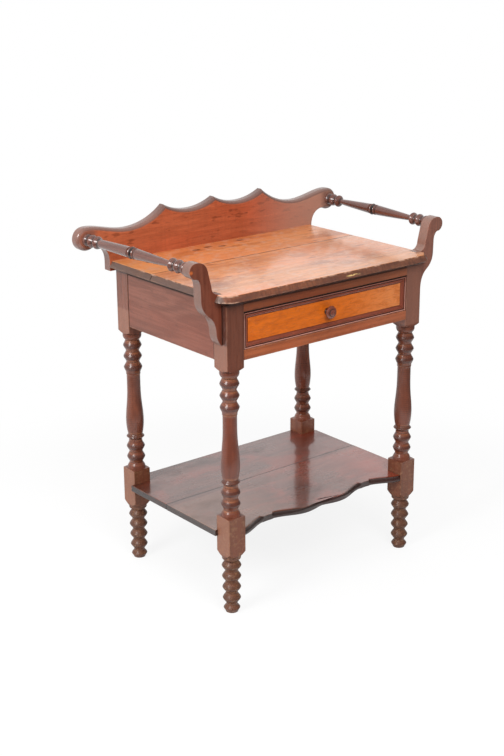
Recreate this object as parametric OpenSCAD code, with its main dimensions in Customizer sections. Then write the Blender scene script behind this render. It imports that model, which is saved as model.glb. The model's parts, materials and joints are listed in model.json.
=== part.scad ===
// Washstand: four spool-turned legs, a case with one drawer, a shaped lower shelf,
// a scalloped splashback and a turned towel bar at each side.
// X runs to the right, Y to the back and Z up from the floor. Sizes are in millimetres.

/* [Stand] */
// Width over the outer faces of the legs
stand_w = 550; // [460:2:700]
// Depth over the outer faces of the legs
stand_d = 396; // [340:2:480]
// Height of the top's surface above the floor
stand_h = 714; // [660:2:780]
// Side of the legs' square stock
leg_square = 44; // [40:1:50]
// Chamfer on the long corners of the square stock
leg_arris = 1.2; // [0.6:0.1:2.5]

/* [Case] */
// Height of the side and rear aprons
apron_h = 122; // [100:1:150]
// Thickness of the side and rear aprons
apron_t = 20; // [16:0.5:24]
// How far the aprons lie behind the outer faces of the legs
apron_setback = 1; // [0.5:0.5:4]
// Height of the front rail above the drawer
rail_upper_h = 21.5; // [16:0.5:28]
// Height of the front rail below the drawer
rail_lower_h = 21.5; // [16:0.5:28]
// Width of the front rails, front to back
rail_d = 58; // [50:1:70]
// Length of the tenons on aprons and rails
tenon_l = 24; // [16:1:28]
// Thickness of the tenons
tenon_t = 9; // [6:0.5:11]
// Length of the legs' square stock below the aprons
square_below = 15; // [8:1:30]

/* [Turning] */
// Distance from bead to bead above the shelf blocks
spool_pitch = 25.6; // [22:0.2:28]
// Radius of the legs' beads at the crest
bead_r = 20.8; // [18:0.2:21.5]
// Radius at the bottom of the deep grooves
groove_r = 14.8; // [11:0.2:16.5]
// Radius of the feet's widest crest
foot_bead_r = 21.2; // [18:0.2:21.6]
// Radius of the feet's highest groove
foot_groove_r = 14.3; // [11:0.2:16.5]
// How much each crest and groove of a foot is smaller than the one over it
foot_taper = 0.5; // [0:0.1:0.8]
// Radius at the bottom of the shallow grooves above the shelf blocks
collar_r = 15.2; // [13:0.2:17.5]
// Largest radius of the vase
vase_r = 20.2; // [18:0.2:21.5]
// Radius of the vase's neck
neck_r = 15.2; // [12:0.2:17]
// Number of beads on each foot
foot_beads = 4; // [3:1:6]
// Radius of the sole
sole_r = 13.5; // [10:0.5:16]

/* [Top] */
// Thickness of the top
top_t = 22; // [18:0.5:28]
// How far the top stands out in front of the legs
top_front_over = 19.5; // [12:0.5:28]
// How far the top stands out at each side of the legs
top_side_over = 20; // [12:0.5:28]
// Width of the front board, front to back
top_front_board = 257; // [200:1:300]
// Width of the bevel round the surface
top_bevel = 8; // [5:0.5:11]
// Depth of the widest edge below the surface
top_arris = 13; // [9:0.5:15]
// How far the undercut ends outside the rails and aprons
undercut_margin = 1.5; // [1:0.5:6]
// Size of the clipped front corners
top_clip = 21; // [12:0.5:26]

/* [Splashback] */
// Thickness of the splashback
splash_t = 22; // [18:0.5:28]
// How far the splashback stands in over the rear legs
splash_seat = 6; // [4:0.5:12]
// Height of the three peaks above the top
splash_rise = 105; // [85:1:130]
// Depth of the hollows between the peaks
splash_hollow = 18; // [10:0.5:26]
// Distance from peak to peak
splash_peak_gap = 141; // [110:1:150]
// Depth of the long outer hollows below the peaks
splash_outer_hollow = 38.5; // [28:0.5:46]
// Width of the bevel along the upper edge
splash_bevel = 9; // [4:0.5:11]
// Radius of the scrolled ends
splash_scroll_r = 25.5; // [22:0.5:28]

/* [Towel rails] */
// Height of the bars above the top
bar_rise = 56; // [48:1:66]
// How far the bars lie outside the top at the splashback
bar_out_rear = 53; // [44:1:64]
// How far the bars lie outside the top at the brackets
bar_out_front = 42; // [36:1:52]
// Radius of the bars' beads
bar_bead_r = 14; // [10:0.5:15]
// Radius of the bars at the middle
bar_body_r = 11.5; // [9:0.5:13]
// Radius of the bars' necks
bar_neck_r = 6; // [5:0.5:8]
// Radius of the rear neck of the left-hand bar, which is thicker
bar_left_neck_r = 9; // [6:0.5:11]
// Distance from bead to bead on the bars
bar_pitch = 20.5; // [17:0.5:23]
// Gap between the rims of the bars' ends and the faces that they meet
bar_end_gap = 0.1; // [0.1:0.05:0.5]
// Radius of the bars' tenons
bar_tenon_r = 6; // [4:0.5:7]
// Length of the bars' tenons
bar_tenon_l = 12; // [8:1:16]
// Thickness of the brackets
bracket_t = 26; // [22:0.5:28]
// How far the brackets lie behind the front of the legs
bracket_setback = 14; // [8:0.5:16]
// Radius of the brackets' round heads
bracket_head_r = 16.5; // [15:0.5:19]
// Length of the brackets below the top's surface
bracket_drop = 107; // [96:1:125]

/* [Shelf] */
// Height of the shelf's surface above the floor
shelf_h = 192; // [170:2:260]
// Thickness of the shelf
shelf_t = 14; // [12:0.5:20]
// How far the shelf stands out at each side of the legs
shelf_side_over = 6.5; // [3:0.5:12]
// Width of the rear shelf board, front to back
shelf_rear_board = 177; // [140:1:200]
// Depth of the shelf's housings in the legs
shelf_housing = 4; // [2:0.5:6]
// How far the ends of the shelf's front edge lie behind the front of the legs
shelf_front_in = 1.5; // [1:0.5:6]
// Depth of the two long recesses of the front edge
shelf_recess = 29.5; // [20:0.5:36]
// Depth of the notch at the middle of the front edge
shelf_notch = 7; // [4:0.5:14]
// Width of the rounding along the front edge
shelf_round = 10; // [4:0.5:12]
// Height of the legs' blocks above the shelf's surface
block_above = 32; // [22:1:45]
// Height of the legs' blocks below the shelf's surface
block_below = 47.5; // [30:0.5:55]

/* [Drawer] */
// Gap at each side of the drawer
drawer_side_gap = 1; // [0.6:0.1:2]
// Gap above the drawer front
drawer_top_gap = 1.2; // [0.8:0.1:3]
// Gap behind the drawer
drawer_rear_gap = 15; // [5:1:40]
// How far the drawer front's board lies behind the front of the legs
drawer_recess = 8.5; // [8:0.5:12]
// Thickness of the drawer front's board
drawer_front_t = 18; // [15:0.5:22]
// Thickness of the drawer's sides and back
drawer_side_t = 11; // [9:0.5:14]
// Thickness of the drawer's bottom
drawer_bottom_t = 7; // [5:0.5:9]
// Height of the drawer's bottom above the lower edge of its sides
drawer_bottom_lift = 9; // [7:0.5:12]
// Depth of the grooves for the bottom
groove_d = 5; // [3:0.5:6]
// Width of the mouldings round the panel
moulding_w = 13.5; // [9:0.5:18]
// Thickness of the mouldings
moulding_t = 7.5; // [5:0.5:8]
// Thickness of the panel
panel_t = 2.5; // [1.5:0.5:4]
// Radius of the knob
knob_r = 14; // [11:0.5:18]
// How far the knob stands out from the panel
knob_reach = 20; // [17:0.5:22]
// Radius of the knob's tenon
knob_tenon_r = 5; // [4:0.5:7]

/* [Inside] */
// Width of the drawer runners and of the kickers above the drawer
runner_w = 25; // [18:1:35]
// Height of the drawer guides above the runners
guide_rise = 11; // [8:0.5:16]
// Side of the glue blocks under the top
glue_block = 16; // [10:1:20]
// Height of the drawer stops
stop_h = 5; // [3:0.5:6]
// Radius of the wood screws' shanks
screw_r = 2.4; // [1.8:0.1:3]
// Length of the wood screws
screw_l = 32; // [26:1:36]

/* [Clearances] */
// Gap between a tenon and its mortise, on each face
tenon_gap = 0.15; // [0.1:0.05:0.4]
// Gap between pieces that slide or stand side by side
fit_gap = 0.3; // [0.2:0.05:0.6]
// Gap round screws and the bars' tenons
bore_gap = 0.1; // [0.05:0.05:0.3]
// Gap between the boards of the top and of the shelf
seam_gap = 0.6; // [0.3:0.1:1.5]

/* [Hidden] */
$fn = 48;

// Lengths that cutters run past what they cut, and the longest they need to be
over = 1;
far = 1000;

// Places along Y: the whole piece is centred between the top's front and the splashback's rear
top_d = stand_d + top_front_over - splash_seat;
front_y = -(top_d + splash_t) / 2;
rear_y = front_y + top_d;
leg_front_y = front_y + top_front_over;
leg_rear_y = leg_front_y + stand_d;
seam_y = front_y + top_front_board;

// Places along X
leg_x = stand_w / 2;
inner_x = leg_x - leg_square;
leg_axis_x = leg_x - leg_square / 2;
top_x = leg_x + top_side_over;

// Places along Z
under_z = stand_h - top_t;
apron_z = under_z - apron_h;
square_z = apron_z - square_below;
drawer_low_z = apron_z + rail_lower_h;
drawer_high_z = under_z - rail_upper_h;
block_high_z = shelf_h + block_above;
block_low_z = shelf_h - block_below;
shelf_z = shelf_h - shelf_t;
bar_z = stand_h + bar_rise;

// Case joinery
apron_x = leg_x - apron_setback;
apron_y = leg_rear_y - apron_setback;
rail_y = leg_front_y + rail_d;
tenon_shoulder = 6;
tenon_h = apron_h - 16;
tenon_room = 0.3;
rail_tenon_in = 5;
rail_shoulder = 3;
stop_l = 30;
stop_w = 12;
glue_block_l = 40;

// Shape of the square stock's ends
corner_r = leg_square / sqrt(2);
shoulder_upper = 6;
shoulder_lower = 12;
block_cone = 1.5;

// Towel bars and brackets
bar_rear_x = top_x + bar_out_rear;
bar_front_x = top_x + bar_out_front;
bracket_y = leg_front_y + bracket_setback;
bar_y = bracket_y + bracket_t;
bar_l = norm([bar_rear_x - bar_front_x, rear_y - bar_y]);
bar_turn = atan2(bar_rear_x - bar_front_x, rear_y - bar_y);
bar_shoulder = bar_end_gap + bar_bead_r * abs(tan(bar_turn));

// Screws
head_r = 2 * screw_r;
head_h = 1.1 * screw_r;
bracket_screw_l = leg_square + 11;
bracket_screw_y = bracket_y + bracket_t / 2;
bracket_screw_drops = [28, 50];
splash_screw_l = splash_t + 18;
splash_screw_shares = [-0.8, -0.27, 0.27, 0.8];

// Shelf
shelf_x = leg_x + shelf_side_over;
shelf_notch_x = inner_x + shelf_housing;
shelf_front_y = leg_front_y + shelf_front_in;
shelf_back_y = leg_rear_y - 2;
shelf_seam_y = shelf_back_y - shelf_rear_board;
shelf_notch_front_y = leg_front_y + leg_square - shelf_housing;
shelf_notch_rear_y = leg_rear_y - leg_square + shelf_housing;

// Drawer
drawer_x = inner_x - drawer_side_gap;
drawer_inner_x = drawer_x - drawer_side_t;
drawer_y = leg_front_y + drawer_recess;
board_rear_y = drawer_y + drawer_front_t;
drawer_rear_y = apron_y - apron_t - drawer_rear_gap;
drawer_z = drawer_low_z + fit_gap;
drawer_top_z = drawer_high_z - drawer_top_gap;
drawer_mid_z = (drawer_z + drawer_top_z) / 2;
front_half_h = (drawer_top_z - drawer_z) / 2;
side_top_z = drawer_top_z - 3;
bottom_z = drawer_z + drawer_bottom_lift;
tails = 3;
tail_l = drawer_front_t - 5;
tail_pitch = (side_top_z - drawer_z) / tails;
nail_r = 1.1;
nail_l = 22;
nail_shares = [-0.7, 0, 0.7];

// Curves
function arc(centre, r, from, to, steps) =
    [for (i = [0 : steps]) let (a = from + (to - from) * i / steps) centre + r * [cos(a), sin(a)]];

function bezier(a, b, c, d, steps) =
    [for (i = [0 : steps]) let (t = i / steps, s = 1 - t)
        s * s * s * a + 3 * s * s * t * b + 3 * s * t * t * c + t * t * t * d];

// Leaves out the last point, which the next stretch starts with
function open_end(points) = [for (i = [0 : len(points) - 2]) points[i]];

function reversed(points) = [for (i = [len(points) - 1 : -1 : 0]) points[i]];

function mirrored(points) = [for (p = reversed(points)) [-p[0], p[1]]];

// Gives each point the distance by which a worked edge is drawn in there
function edged(points, width) = [for (p = points) [p[0], p[1], width]];

function plan(p) = [p[0], p[1]];

function unit(v) = v / norm(v);

// A point drawn in across the outline. At a sharp corner beside an edge of no width it moves
// along that edge.
function drawn_in(before, here, after, share) =
    let (a = unit(plan(here) - plan(before)), b = unit(plan(after) - plan(here)))
    let (bisector = [-a[1] - b[1], a[0] + b[0]], spread = 1 + a * b, turn = cross(a, b))
    let (width = here[2] * share)
    turn > 0.5 && after[2] == 0 ? plan(here) + b * width / turn :
    turn > 0.5 && before[2] == 0 ? plan(here) - a * width / turn :
    plan(here) + bisector * width / max(spread, 0.6);

// Triangles across a band, from the points i and j at its one end along both of its edges
function ladder(points, i, j) =
    let (n = len(points), last = j % n)
    j - i < 2 ? [] :
    norm(points[i + 1] - points[last]) < norm(points[i] - points[j - 1])
        ? concat([[i, i + 1, last]], ladder(points, i + 1, j))
        : concat([[i, j - 1, last]], ladder(points, i, j - 1));

// A board from an outline that turns anticlockwise, in one band or in two that part at its
// middle. Each level is a height and the share of the edge width by which the outline is
// drawn in there.
module worked_board(outline, levels, bands = 2) {
    n = len(outline);
    rings = len(levels);
    flat = [for (p = outline) plan(p)];
    face = bands == 2 ? concat(ladder(flat, 0, n / 2), ladder(flat, n / 2, n)) : ladder(flat, 0, n - 1);
    points = [for (level = levels, i = [0 : n - 1])
        let (p = drawn_in(outline[(i + n - 1) % n], outline[i], outline[(i + 1) % n], level[1]))
        [p[0], p[1], level[0]]];
    upper = [for (t = face) [for (k = [2, 1, 0]) (rings - 1) * n + t[k]]];
    walls = [for (k = [0 : rings - 2], i = [0 : n - 1], half = [0, 1])
        let (a = k * n + i, b = k * n + (i + 1) % n)
        half == 0 ? [a, a + n, b + n] : [a, b + n, b]];
    polyhedron(points, concat(face, upper, walls), 10);
}

// Points along a straight edge without its last one
function straight(a, b, steps) = [for (i = [0 : steps - 1]) a + (b - a) * i / steps];

// One bead from groove to groove: rounded at the crest, steep at the sides
function bead(z, half, crest, low, high) =
    [for (t = [-1, -0.62, -0.26, 0, 0.26, 0.62, 1])
        [crest - (crest - (t < 0 ? low : high)) * pow(abs(t), 1.15), z + t * half]];

// Round work on the legs
// One spool from groove to groove: slanted sides, softened at the crest and in the grooves
function spool(z, half, crest, low, high) =
    [for (t = [-1, -0.8, -0.5, -0.2, 0, 0.2, 0.5, 0.8, 1])
        [crest - (crest - (t < 0 ? low : high)) * (abs(t) - 0.05 * sin(360 * abs(t))), z + t * half]];

spool_half = 0.49;
cove_r = groove_r + 0.8;
neck_ring_r = neck_r + 1;
spool_first = 1.37;
foot_pitch = block_low_z / (foot_beads + 1.65);

function foot_profile() = concat(
    [[0, 0], [sole_r, 0]],
    spool(0.36 * foot_pitch, 0.34 * foot_pitch, foot_bead_r * 0.85, sole_r,
        foot_groove_r - foot_taper * foot_beads),
    [for (i = [foot_beads - 1 : -1 : 0])
        each spool(block_low_z - (spool_first + i) * foot_pitch, spool_half * foot_pitch,
            foot_bead_r - foot_taper * i, foot_groove_r - foot_taper * (i + 1),
            foot_groove_r - foot_taper * i)],
    [[foot_groove_r + 1.4, block_low_z - 0.83 * foot_pitch], [bead_r - 1, block_low_z - 0.73 * foot_pitch],
     [bead_r - 0.3, block_low_z - 0.6 * foot_pitch], [bead_r - 0.3, block_low_z + over]]
);

ring_z = block_high_z + 3.07 * spool_pitch;
vase_low_z = ring_z + 0.34 * spool_pitch;
vase_high_z = square_z - 4.1 * spool_pitch;
vase_l = vase_high_z - vase_low_z;

function collar_profile() = concat(
    [[bead_r, block_high_z - over], [bead_r, block_high_z + 0.1 * spool_pitch],
     [collar_r, block_high_z + 0.58 * spool_pitch]],
    spool(block_high_z + 1.14 * spool_pitch, spool_half * spool_pitch, bead_r, collar_r, collar_r),
    spool(block_high_z + 2.14 * spool_pitch, spool_half * spool_pitch, bead_r, collar_r, collar_r),
    spool(ring_z, 0.22 * spool_pitch, bead_r - 0.4, collar_r, collar_r + 1)
);

function vase_profile() = [
    for (t = [0, 0.08, 0.15, 0.22, 0.31, 0.4, 0.5, 0.6, 0.7, 0.82, 1])
        [t < 0.22 ? vase_r - 3 * pow((0.22 - t) / 0.22, 2)
            : neck_r + (vase_r - neck_r) * pow(0.5 + 0.5 * cos(180 * (t - 0.22) / 0.78), 2.4),
         vase_low_z + t * vase_l]
];

function spool_profile() = concat(
    [[neck_ring_r, vase_high_z + 0.08 * spool_pitch],
     [neck_ring_r, square_z - (spool_first + 2.55) * spool_pitch]],
    [for (i = [2 : -1 : 0])
        each spool(square_z - (spool_first + i) * spool_pitch, spool_half * spool_pitch,
            bead_r, i == 2 ? neck_ring_r : groove_r, i == 0 ? cove_r : groove_r)],
    [[cove_r + 1, square_z - 0.83 * spool_pitch], [bead_r - 1, square_z - 0.66 * spool_pitch],
     [bead_r + 0.2, square_z - 0.5 * spool_pitch], [bead_r + 0.2, square_z + over]]
);

module square_stock(low, high) {
    h = leg_square / 2;
    c = h - leg_arris;
    translate([0, 0, low])
    linear_extrude(high - low)
    polygon([[c, -h], [h, -c], [h, c], [c, h], [-c, h], [-h, c], [-h, -c], [-c, -h]]);
}

// Square stock with its lower end, and its upper end where that has a length, turned to a cone
module turned_square(low, high, low_cone, high_cone) {
    upper_end = high_cone > 0 ? [[bead_r, high + high_cone], [0, high + high_cone]] : [[0, high]];
    intersection() {
        square_stock(low - low_cone, high + high_cone);
        rotate_extrude()
        polygon(concat(
            [[0, low - low_cone], [bead_r, low - low_cone], [corner_r, low], [corner_r, high]],
            upper_end));
    }
}

// One leg on its own axis
module leg_body() {
    rotate_extrude()
    polygon(concat(foot_profile(), [[0, block_low_z + over]]));
    rotate_extrude()
    polygon(concat([[0, block_high_z - over]], collar_profile(), vase_profile(), spool_profile(),
        [[0, square_z + over]]));
    turned_square(block_low_z, block_high_z - block_cone, shoulder_lower, block_cone);
    turned_square(square_z, under_z, shoulder_upper, 0);
}

// A leg in its place, with mortises, the shelf's housing and the holes for the bracket's screws
module leg(right, rear) {
    color("sienna")
    mirror([right ? 0 : 1, 0, 0])
    difference() {
        translate([leg_axis_x, (rear ? leg_rear_y : leg_front_y + leg_square) - leg_square / 2, 0])
        leg_body();
        side_tenon(rear, tenon_gap, tenon_room);
        shelf_housing_cut(rear);
        if (rear) {
            rear_tenon(tenon_gap, tenon_room);
        } else {
            rail_tenon(apron_z, rail_lower_h, tenon_gap, tenon_room);
            rail_tenon(drawer_high_z, rail_upper_h, tenon_gap, tenon_room);
            bracket_screw_holes();
        }
    }
}

// The corner of the shelf, drawn a little large
module shelf_housing_cut(rear) {
    gap = fit_gap / 2;
    cut = shelf_housing + gap + over;
    z = shelf_z - gap;
    h = shelf_t + 2 * gap;
    start_y = rear ? leg_rear_y - leg_square - over : shelf_front_y - gap;
    end_y = rear ? shelf_back_y + gap : leg_front_y + leg_square + over;
    translate([inner_x - over, start_y, z])
    cube([cut, end_y - start_y, h]);
    translate([inner_x - over, rear ? start_y : end_y - cut, z])
    cube([leg_square + 2 * over, cut, h]);
}

// Tenons, drawn for the right-hand side. Grown by a gap and lengthened, they are the mortises.
module side_tenon(rear, grow, room) {
    face_y = rear ? leg_rear_y - leg_square : leg_front_y + leg_square;
    l = tenon_l + room + over;
    translate([apron_x - apron_t / 2 - tenon_t / 2 - grow, rear ? face_y - over : face_y + over - l,
        apron_z + tenon_shoulder - grow])
    cube([tenon_t + 2 * grow, l, tenon_h + 2 * grow]);
}

module rear_tenon(grow, room) {
    translate([inner_x - over, apron_y - apron_t / 2 - tenon_t / 2 - grow, apron_z + tenon_shoulder - grow])
    cube([tenon_l + room + over, tenon_t + 2 * grow, tenon_h + 2 * grow]);
}

module rail_tenon(z, h, grow, room) {
    translate([inner_x - over, leg_front_y + rail_tenon_in - grow, z + rail_shoulder - grow])
    cube([tenon_l + room + over, tenon_t + 2 * grow, h - 2 * rail_shoulder + 2 * grow]);
}

// Case
module side_apron(right) {
    color("rosybrown")
    mirror([right ? 0 : 1, 0, 0])
    difference() {
        union() {
            translate([apron_x - apron_t, leg_front_y + leg_square, apron_z])
            cube([apron_t, stand_d - 2 * leg_square, apron_h]);
            side_tenon(true, 0, 0);
            side_tenon(false, 0, 0);
        }
        bracket_screw_holes();
    }
}

module rear_apron() {
    color("rosybrown") {
        translate([-inner_x, apron_y - apron_t, apron_z])
        cube([2 * inner_x, apron_t, apron_h]);
        rear_tenon(0, 0);
        mirror([1, 0, 0])
        rear_tenon(0, 0);
    }
}

module front_rail(z, h) {
    translate([-inner_x, leg_front_y, z])
    cube([2 * inner_x, rail_d, h]);
    rail_tenon(z, h, 0, 0);
    mirror([1, 0, 0])
    rail_tenon(z, h, 0, 0);
}

module front_rail_lower() {
    color("saddlebrown")
    front_rail(apron_z, rail_lower_h);
}

module front_rail_upper() {
    color("saddlebrown")
    difference() {
        front_rail(drawer_high_z, rail_upper_h);
        top_screw_holes();
    }
}

// Pieces inside the case, drawn for the right-hand side
runner_y = rail_y;
runner_l = apron_y - apron_t - rail_y;
runner_z = apron_z + over;

module drawer_runner(right) {
    color("burlywood")
    mirror([right ? 0 : 1, 0, 0])
    translate([inner_x - runner_w, runner_y, runner_z])
    cube([runner_w, runner_l, drawer_low_z - runner_z]);
}

module drawer_guide(right) {
    color("burlywood")
    mirror([right ? 0 : 1, 0, 0])
    translate([inner_x, leg_front_y + leg_square, runner_z])
    cube([apron_x - apron_t - inner_x, stand_d - 2 * leg_square, drawer_low_z - runner_z + guide_rise]);
}

module drawer_kicker(right) {
    color("burlywood")
    mirror([right ? 0 : 1, 0, 0])
    difference() {
        translate([inner_x - runner_w, runner_y, drawer_high_z])
        cube([runner_w, runner_l, rail_upper_h]);
        top_screw_holes();
    }
}

// Two blocks on the lower rail, behind the drawer front
module drawer_stops() {
    color("burlywood")
    for (side = [-1, 1])
    translate([side * inner_x * 0.6 - stop_l / 2, drawer_y + drawer_front_t + fit_gap, drawer_low_z])
    cube([stop_l, stop_w, stop_h]);
}

// Blocks in the corners between the aprons and the top
module glue_blocks() {
    color("burlywood") {
        for (side = [0, 1], share = [0.25, 0.75])
        mirror([side, 0, 0])
        translate([apron_x - apron_t, leg_front_y + leg_square + share * (stand_d - 2 * leg_square), under_z])
        rotate([90, 0, 180])
        glue_block_piece();
        for (share = [-0.5, 0.5])
        translate([share * inner_x, apron_y - apron_t, under_z])
        rotate([90, 0, 270])
        glue_block_piece();
    }
}

// Three-sided block along the inside of a corner, its length centred
module glue_block_piece() {
    translate([0, 0, -glue_block_l / 2])
    linear_extrude(glue_block_l)
    polygon([[0, 0], [0, -glue_block], [glue_block, 0]]);
}

// Top
top_outline = [
    [-top_x, rear_y], [-top_x, front_y + top_clip], [top_clip - top_x, front_y],
    [top_x - top_clip, front_y], [top_x, front_y + top_clip], [top_x, rear_y]
];
top_screw_places = [
    for (side = [-1, 1]) each [
        [side * 0.62 * inner_x, leg_front_y + 0.7 * rail_d],
        [side * (inner_x - runner_w / 2), seam_y - 60],
        [side * (inner_x - runner_w / 2), rear_y - 60]
    ],
    [0, leg_front_y + 0.7 * rail_d]
];

// Takes the bevel and the undercut off the edge from a to b
module top_edge_cut(a, b) {
    run = b - a;
    arris = top_t - top_arris;
    undercut = min(top_front_over, top_side_over) - undercut_margin;
    translate([a[0], a[1], under_z])
    rotate([0, 0, atan2(run[1], run[0])])
    rotate([90, 0, 90])
    translate([0, 0, -top_bevel])
    linear_extrude(norm(run) + 2 * top_bevel)
    polygon([
        [-over, -over], [undercut, -over], [undercut, 0], [0, arris],
        [top_bevel, top_t], [top_bevel, top_t + over], [-over, top_t + over]
    ]);
}

module top_board(from_y, to_y) {
    color("peru")
    difference() {
        translate([0, 0, under_z])
        linear_extrude(top_t)
        intersection() {
            polygon(top_outline);
            translate([-far / 2, from_y])
            square([far, to_y - from_y]);
        }
        for (i = [0 : len(top_outline) - 2]) top_edge_cut(top_outline[i], top_outline[i + 1]);
        for (side = [0, 1])
        mirror([side, 0, 0])
        translate([leg_x - fit_gap, bracket_y - fit_gap, under_z - over])
        cube([top_side_over + 2 * over, bracket_t + 2 * fit_gap, top_t + 2 * over]);
        top_screw_holes();
        splashback_screw_holes();
    }
}

module top_board_front() top_board(front_y, seam_y - seam_gap / 2);

module top_board_rear() top_board(seam_y + seam_gap / 2, rear_y);

// Screws, head down on Z = 0 and point up
module screw(l) {
    color("dimgray")
    difference() {
        union() {
            cylinder(h = head_h, r1 = head_r, r2 = screw_r);
            cylinder(h = l - 2 * screw_r, r = screw_r);
            translate([0, 0, l - 2 * screw_r])
            cylinder(h = 2 * screw_r, r1 = screw_r, r2 = 0.3);
        }
        translate([-head_r - over, -screw_r / 6, -over])
        cube([2 * (head_r + over), screw_r / 3, over + head_h / 2]);
    }
}

module screw_hole(l) {
    translate([0, 0, -over])
    cylinder(h = l + over + 2 * bore_gap, r = screw_r + bore_gap);
    translate([0, 0, -over])
    cylinder(h = over, r = head_r + bore_gap);
    cylinder(h = head_h, r1 = head_r + bore_gap, r2 = screw_r + bore_gap);
}

module at_top_screws() {
    for (place = top_screw_places)
    translate([place[0], place[1], drawer_high_z])
    children();
}

module top_screws() at_top_screws() screw(screw_l);

module top_screw_holes() at_top_screws() screw_hole(screw_l);

module at_splashback_screws() {
    for (share = splash_screw_shares)
    translate([share * top_x, rear_y + splash_t, under_z + top_t / 2])
    rotate([90, 0, 0])
    children();
}

module splashback_screws() at_splashback_screws() screw(splash_screw_l);

module splashback_screw_holes() at_splashback_screws() screw_hole(splash_screw_l);

// Into the right-hand bracket through its leg
module at_bracket_screws() {
    for (drop = bracket_screw_drops)
    translate([inner_x, bracket_screw_y, under_z - drop])
    rotate([0, 90, 0])
    children();
}

module bracket_screws() {
    for (side = [0, 1])
    mirror([side, 0, 0])
    at_bracket_screws() screw(bracket_screw_l);
}

module bracket_screw_holes() at_bracket_screws() screw_hole(bracket_screw_l);

// Splashback
splash_half_w = top_x - 2;
splash_low_x = splash_peak_gap + 102;
peak_z = stand_h + splash_rise;

// Centre and radius of a hollow that is deep below a chord's ends
function hollow_r(half, deep) = (half * half + deep * deep) / (2 * deep);

function splash_half() =
    let (hollow = hollow_r(splash_peak_gap / 2, splash_hollow))
    let (hollow_angle = asin(splash_peak_gap / 2 / hollow))
    let (outer_half = splash_low_x - splash_peak_gap, outer = hollow_r(outer_half, splash_outer_hollow))
    let (outer_angle = asin(outer_half / outer), low_z = peak_z - splash_outer_hollow)
    let (scroll = [bar_rear_x, bar_z], foot = [splash_half_w, stand_h - 2])
    let (cusp = scroll + splash_scroll_r * [cos(228), sin(228)])
    let (curl = scroll + splash_scroll_r * [cos(80), sin(80)])
    concat(
        edged(straight([0, under_z], [splash_half_w, under_z], 20), 0),
        edged(straight([splash_half_w, under_z], foot, 2), 0),
        edged(open_end(bezier(foot, foot + [0, 25], cusp + [-24, 0], cusp, 12)), 1.2),
        edged(open_end(arc(scroll, splash_scroll_r, -132, 80, 24)), splash_bevel * 0.8),
        edged(open_end(bezier(curl, curl + [-29.5, 5], [splash_low_x + 37, low_z],
            [splash_low_x, low_z], 14)), splash_bevel),
        edged(open_end(arc([splash_low_x, low_z + outer], outer, 270, 270 - outer_angle, 14)), splash_bevel),
        edged(open_end(arc([splash_peak_gap / 2, peak_z - splash_hollow + hollow], hollow,
            270 + hollow_angle, 270 - hollow_angle, 14)), splash_bevel)
    );

module splashback() {
    half = splash_half();
    left = [for (i = [len(half) - 1 : -1 : 1]) [-half[i][0], half[i][1], half[i][2]]];
    outline = concat(half, [[0, peak_z, splash_bevel]], left);
    color("chocolate")
    difference() {
        translate([0, rear_y + splash_t, 0])
        rotate([90, 0, 0])
        worked_board(outline, [[0, 0], [splash_t - splash_bevel * 0.8, 0], [splash_t, 1]]);
        splashback_screw_holes();
        for (side = [0, 1])
        mirror([side, 0, 0])
        bar_bore();
    }
}

// Towel brackets and bars, drawn for the right-hand side
function bracket_outline() =
    let (head = [bar_front_x, bar_z], tip = [leg_x, stand_h - bracket_drop])
    let (waist_in = [bar_front_x - 29, bar_z - 8], neck_in = [bar_front_x - 36.5, stand_h + 16])
    let (heel = [leg_x + 6, stand_h], shoulder = [bar_front_x - 10.5, under_z + 18])
    let (hip = [leg_x + 33, under_z - 20], knee = [leg_x + 14.5, under_z - 59])
    let (cusp = head + bracket_head_r * [cos(-72), sin(-72)], neck = [bar_front_x - 9.8, bar_z - 35])
    concat(
        [tip],
        open_end(bezier(tip + [3, 0], [leg_x + 8, tip[1] + 5], knee + [-1, -13], knee, 9)),
        open_end(bezier(knee, knee + [1, 19], hip + [-11, -8], hip, 10)),
        bezier(hip, hip + [10, 8], shoulder + [0, -20], shoulder, 10),
        open_end(bezier(neck, neck + [0.7, 10], cusp + [-10, -0.5], cusp + [-2.5, 0], 9)),
        open_end(arc(head, bracket_head_r, -72, 90, 20)),
        open_end(bezier(head + [0, bracket_head_r], head + [-19, bracket_head_r],
            waist_in + [3, 14], waist_in, 12)),
        open_end(bezier(waist_in, waist_in + [-2, -10], neck_in + [1, 8], neck_in, 7)),
        bezier(neck_in, neck_in + [-1.5, -11], heel + [10, 1], heel, 10),
        straight([leg_x, stand_h], tip, 12)
    );

module towel_bracket(right) {
    outline = edged(bracket_outline(), 0.8);
    color("sienna")
    mirror([right ? 0 : 1, 0, 0])
    difference() {
        translate([0, bar_y, 0])
        rotate([90, 0, 0])
        worked_board(outline, [[0, 1], [0.8, 0], [bracket_t - 0.8, 0], [bracket_t, 1]], 1);
        bar_bore();
        bracket_screw_holes();
    }
}

// Puts Z along the right-hand bar, from the bracket's rear face to the splashback
module on_bar() {
    translate([bar_front_x, bar_y, bar_z])
    rotate([0, 0, -bar_turn])
    rotate([-90, 0, 0])
    children();
}

module bar_bore() {
    on_bar()
    translate([0, 0, -bar_tenon_l - fit_gap])
    cylinder(h = bar_l + 2 * (bar_tenon_l + fit_gap), r = bar_tenon_r + bore_gap);
}

// Radius along a body that swells from its neck
function bar_swell(neck, t) = neck + (bar_body_r - neck) * (t < 0.08 ? 0 : pow(t, 0.8));

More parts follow.
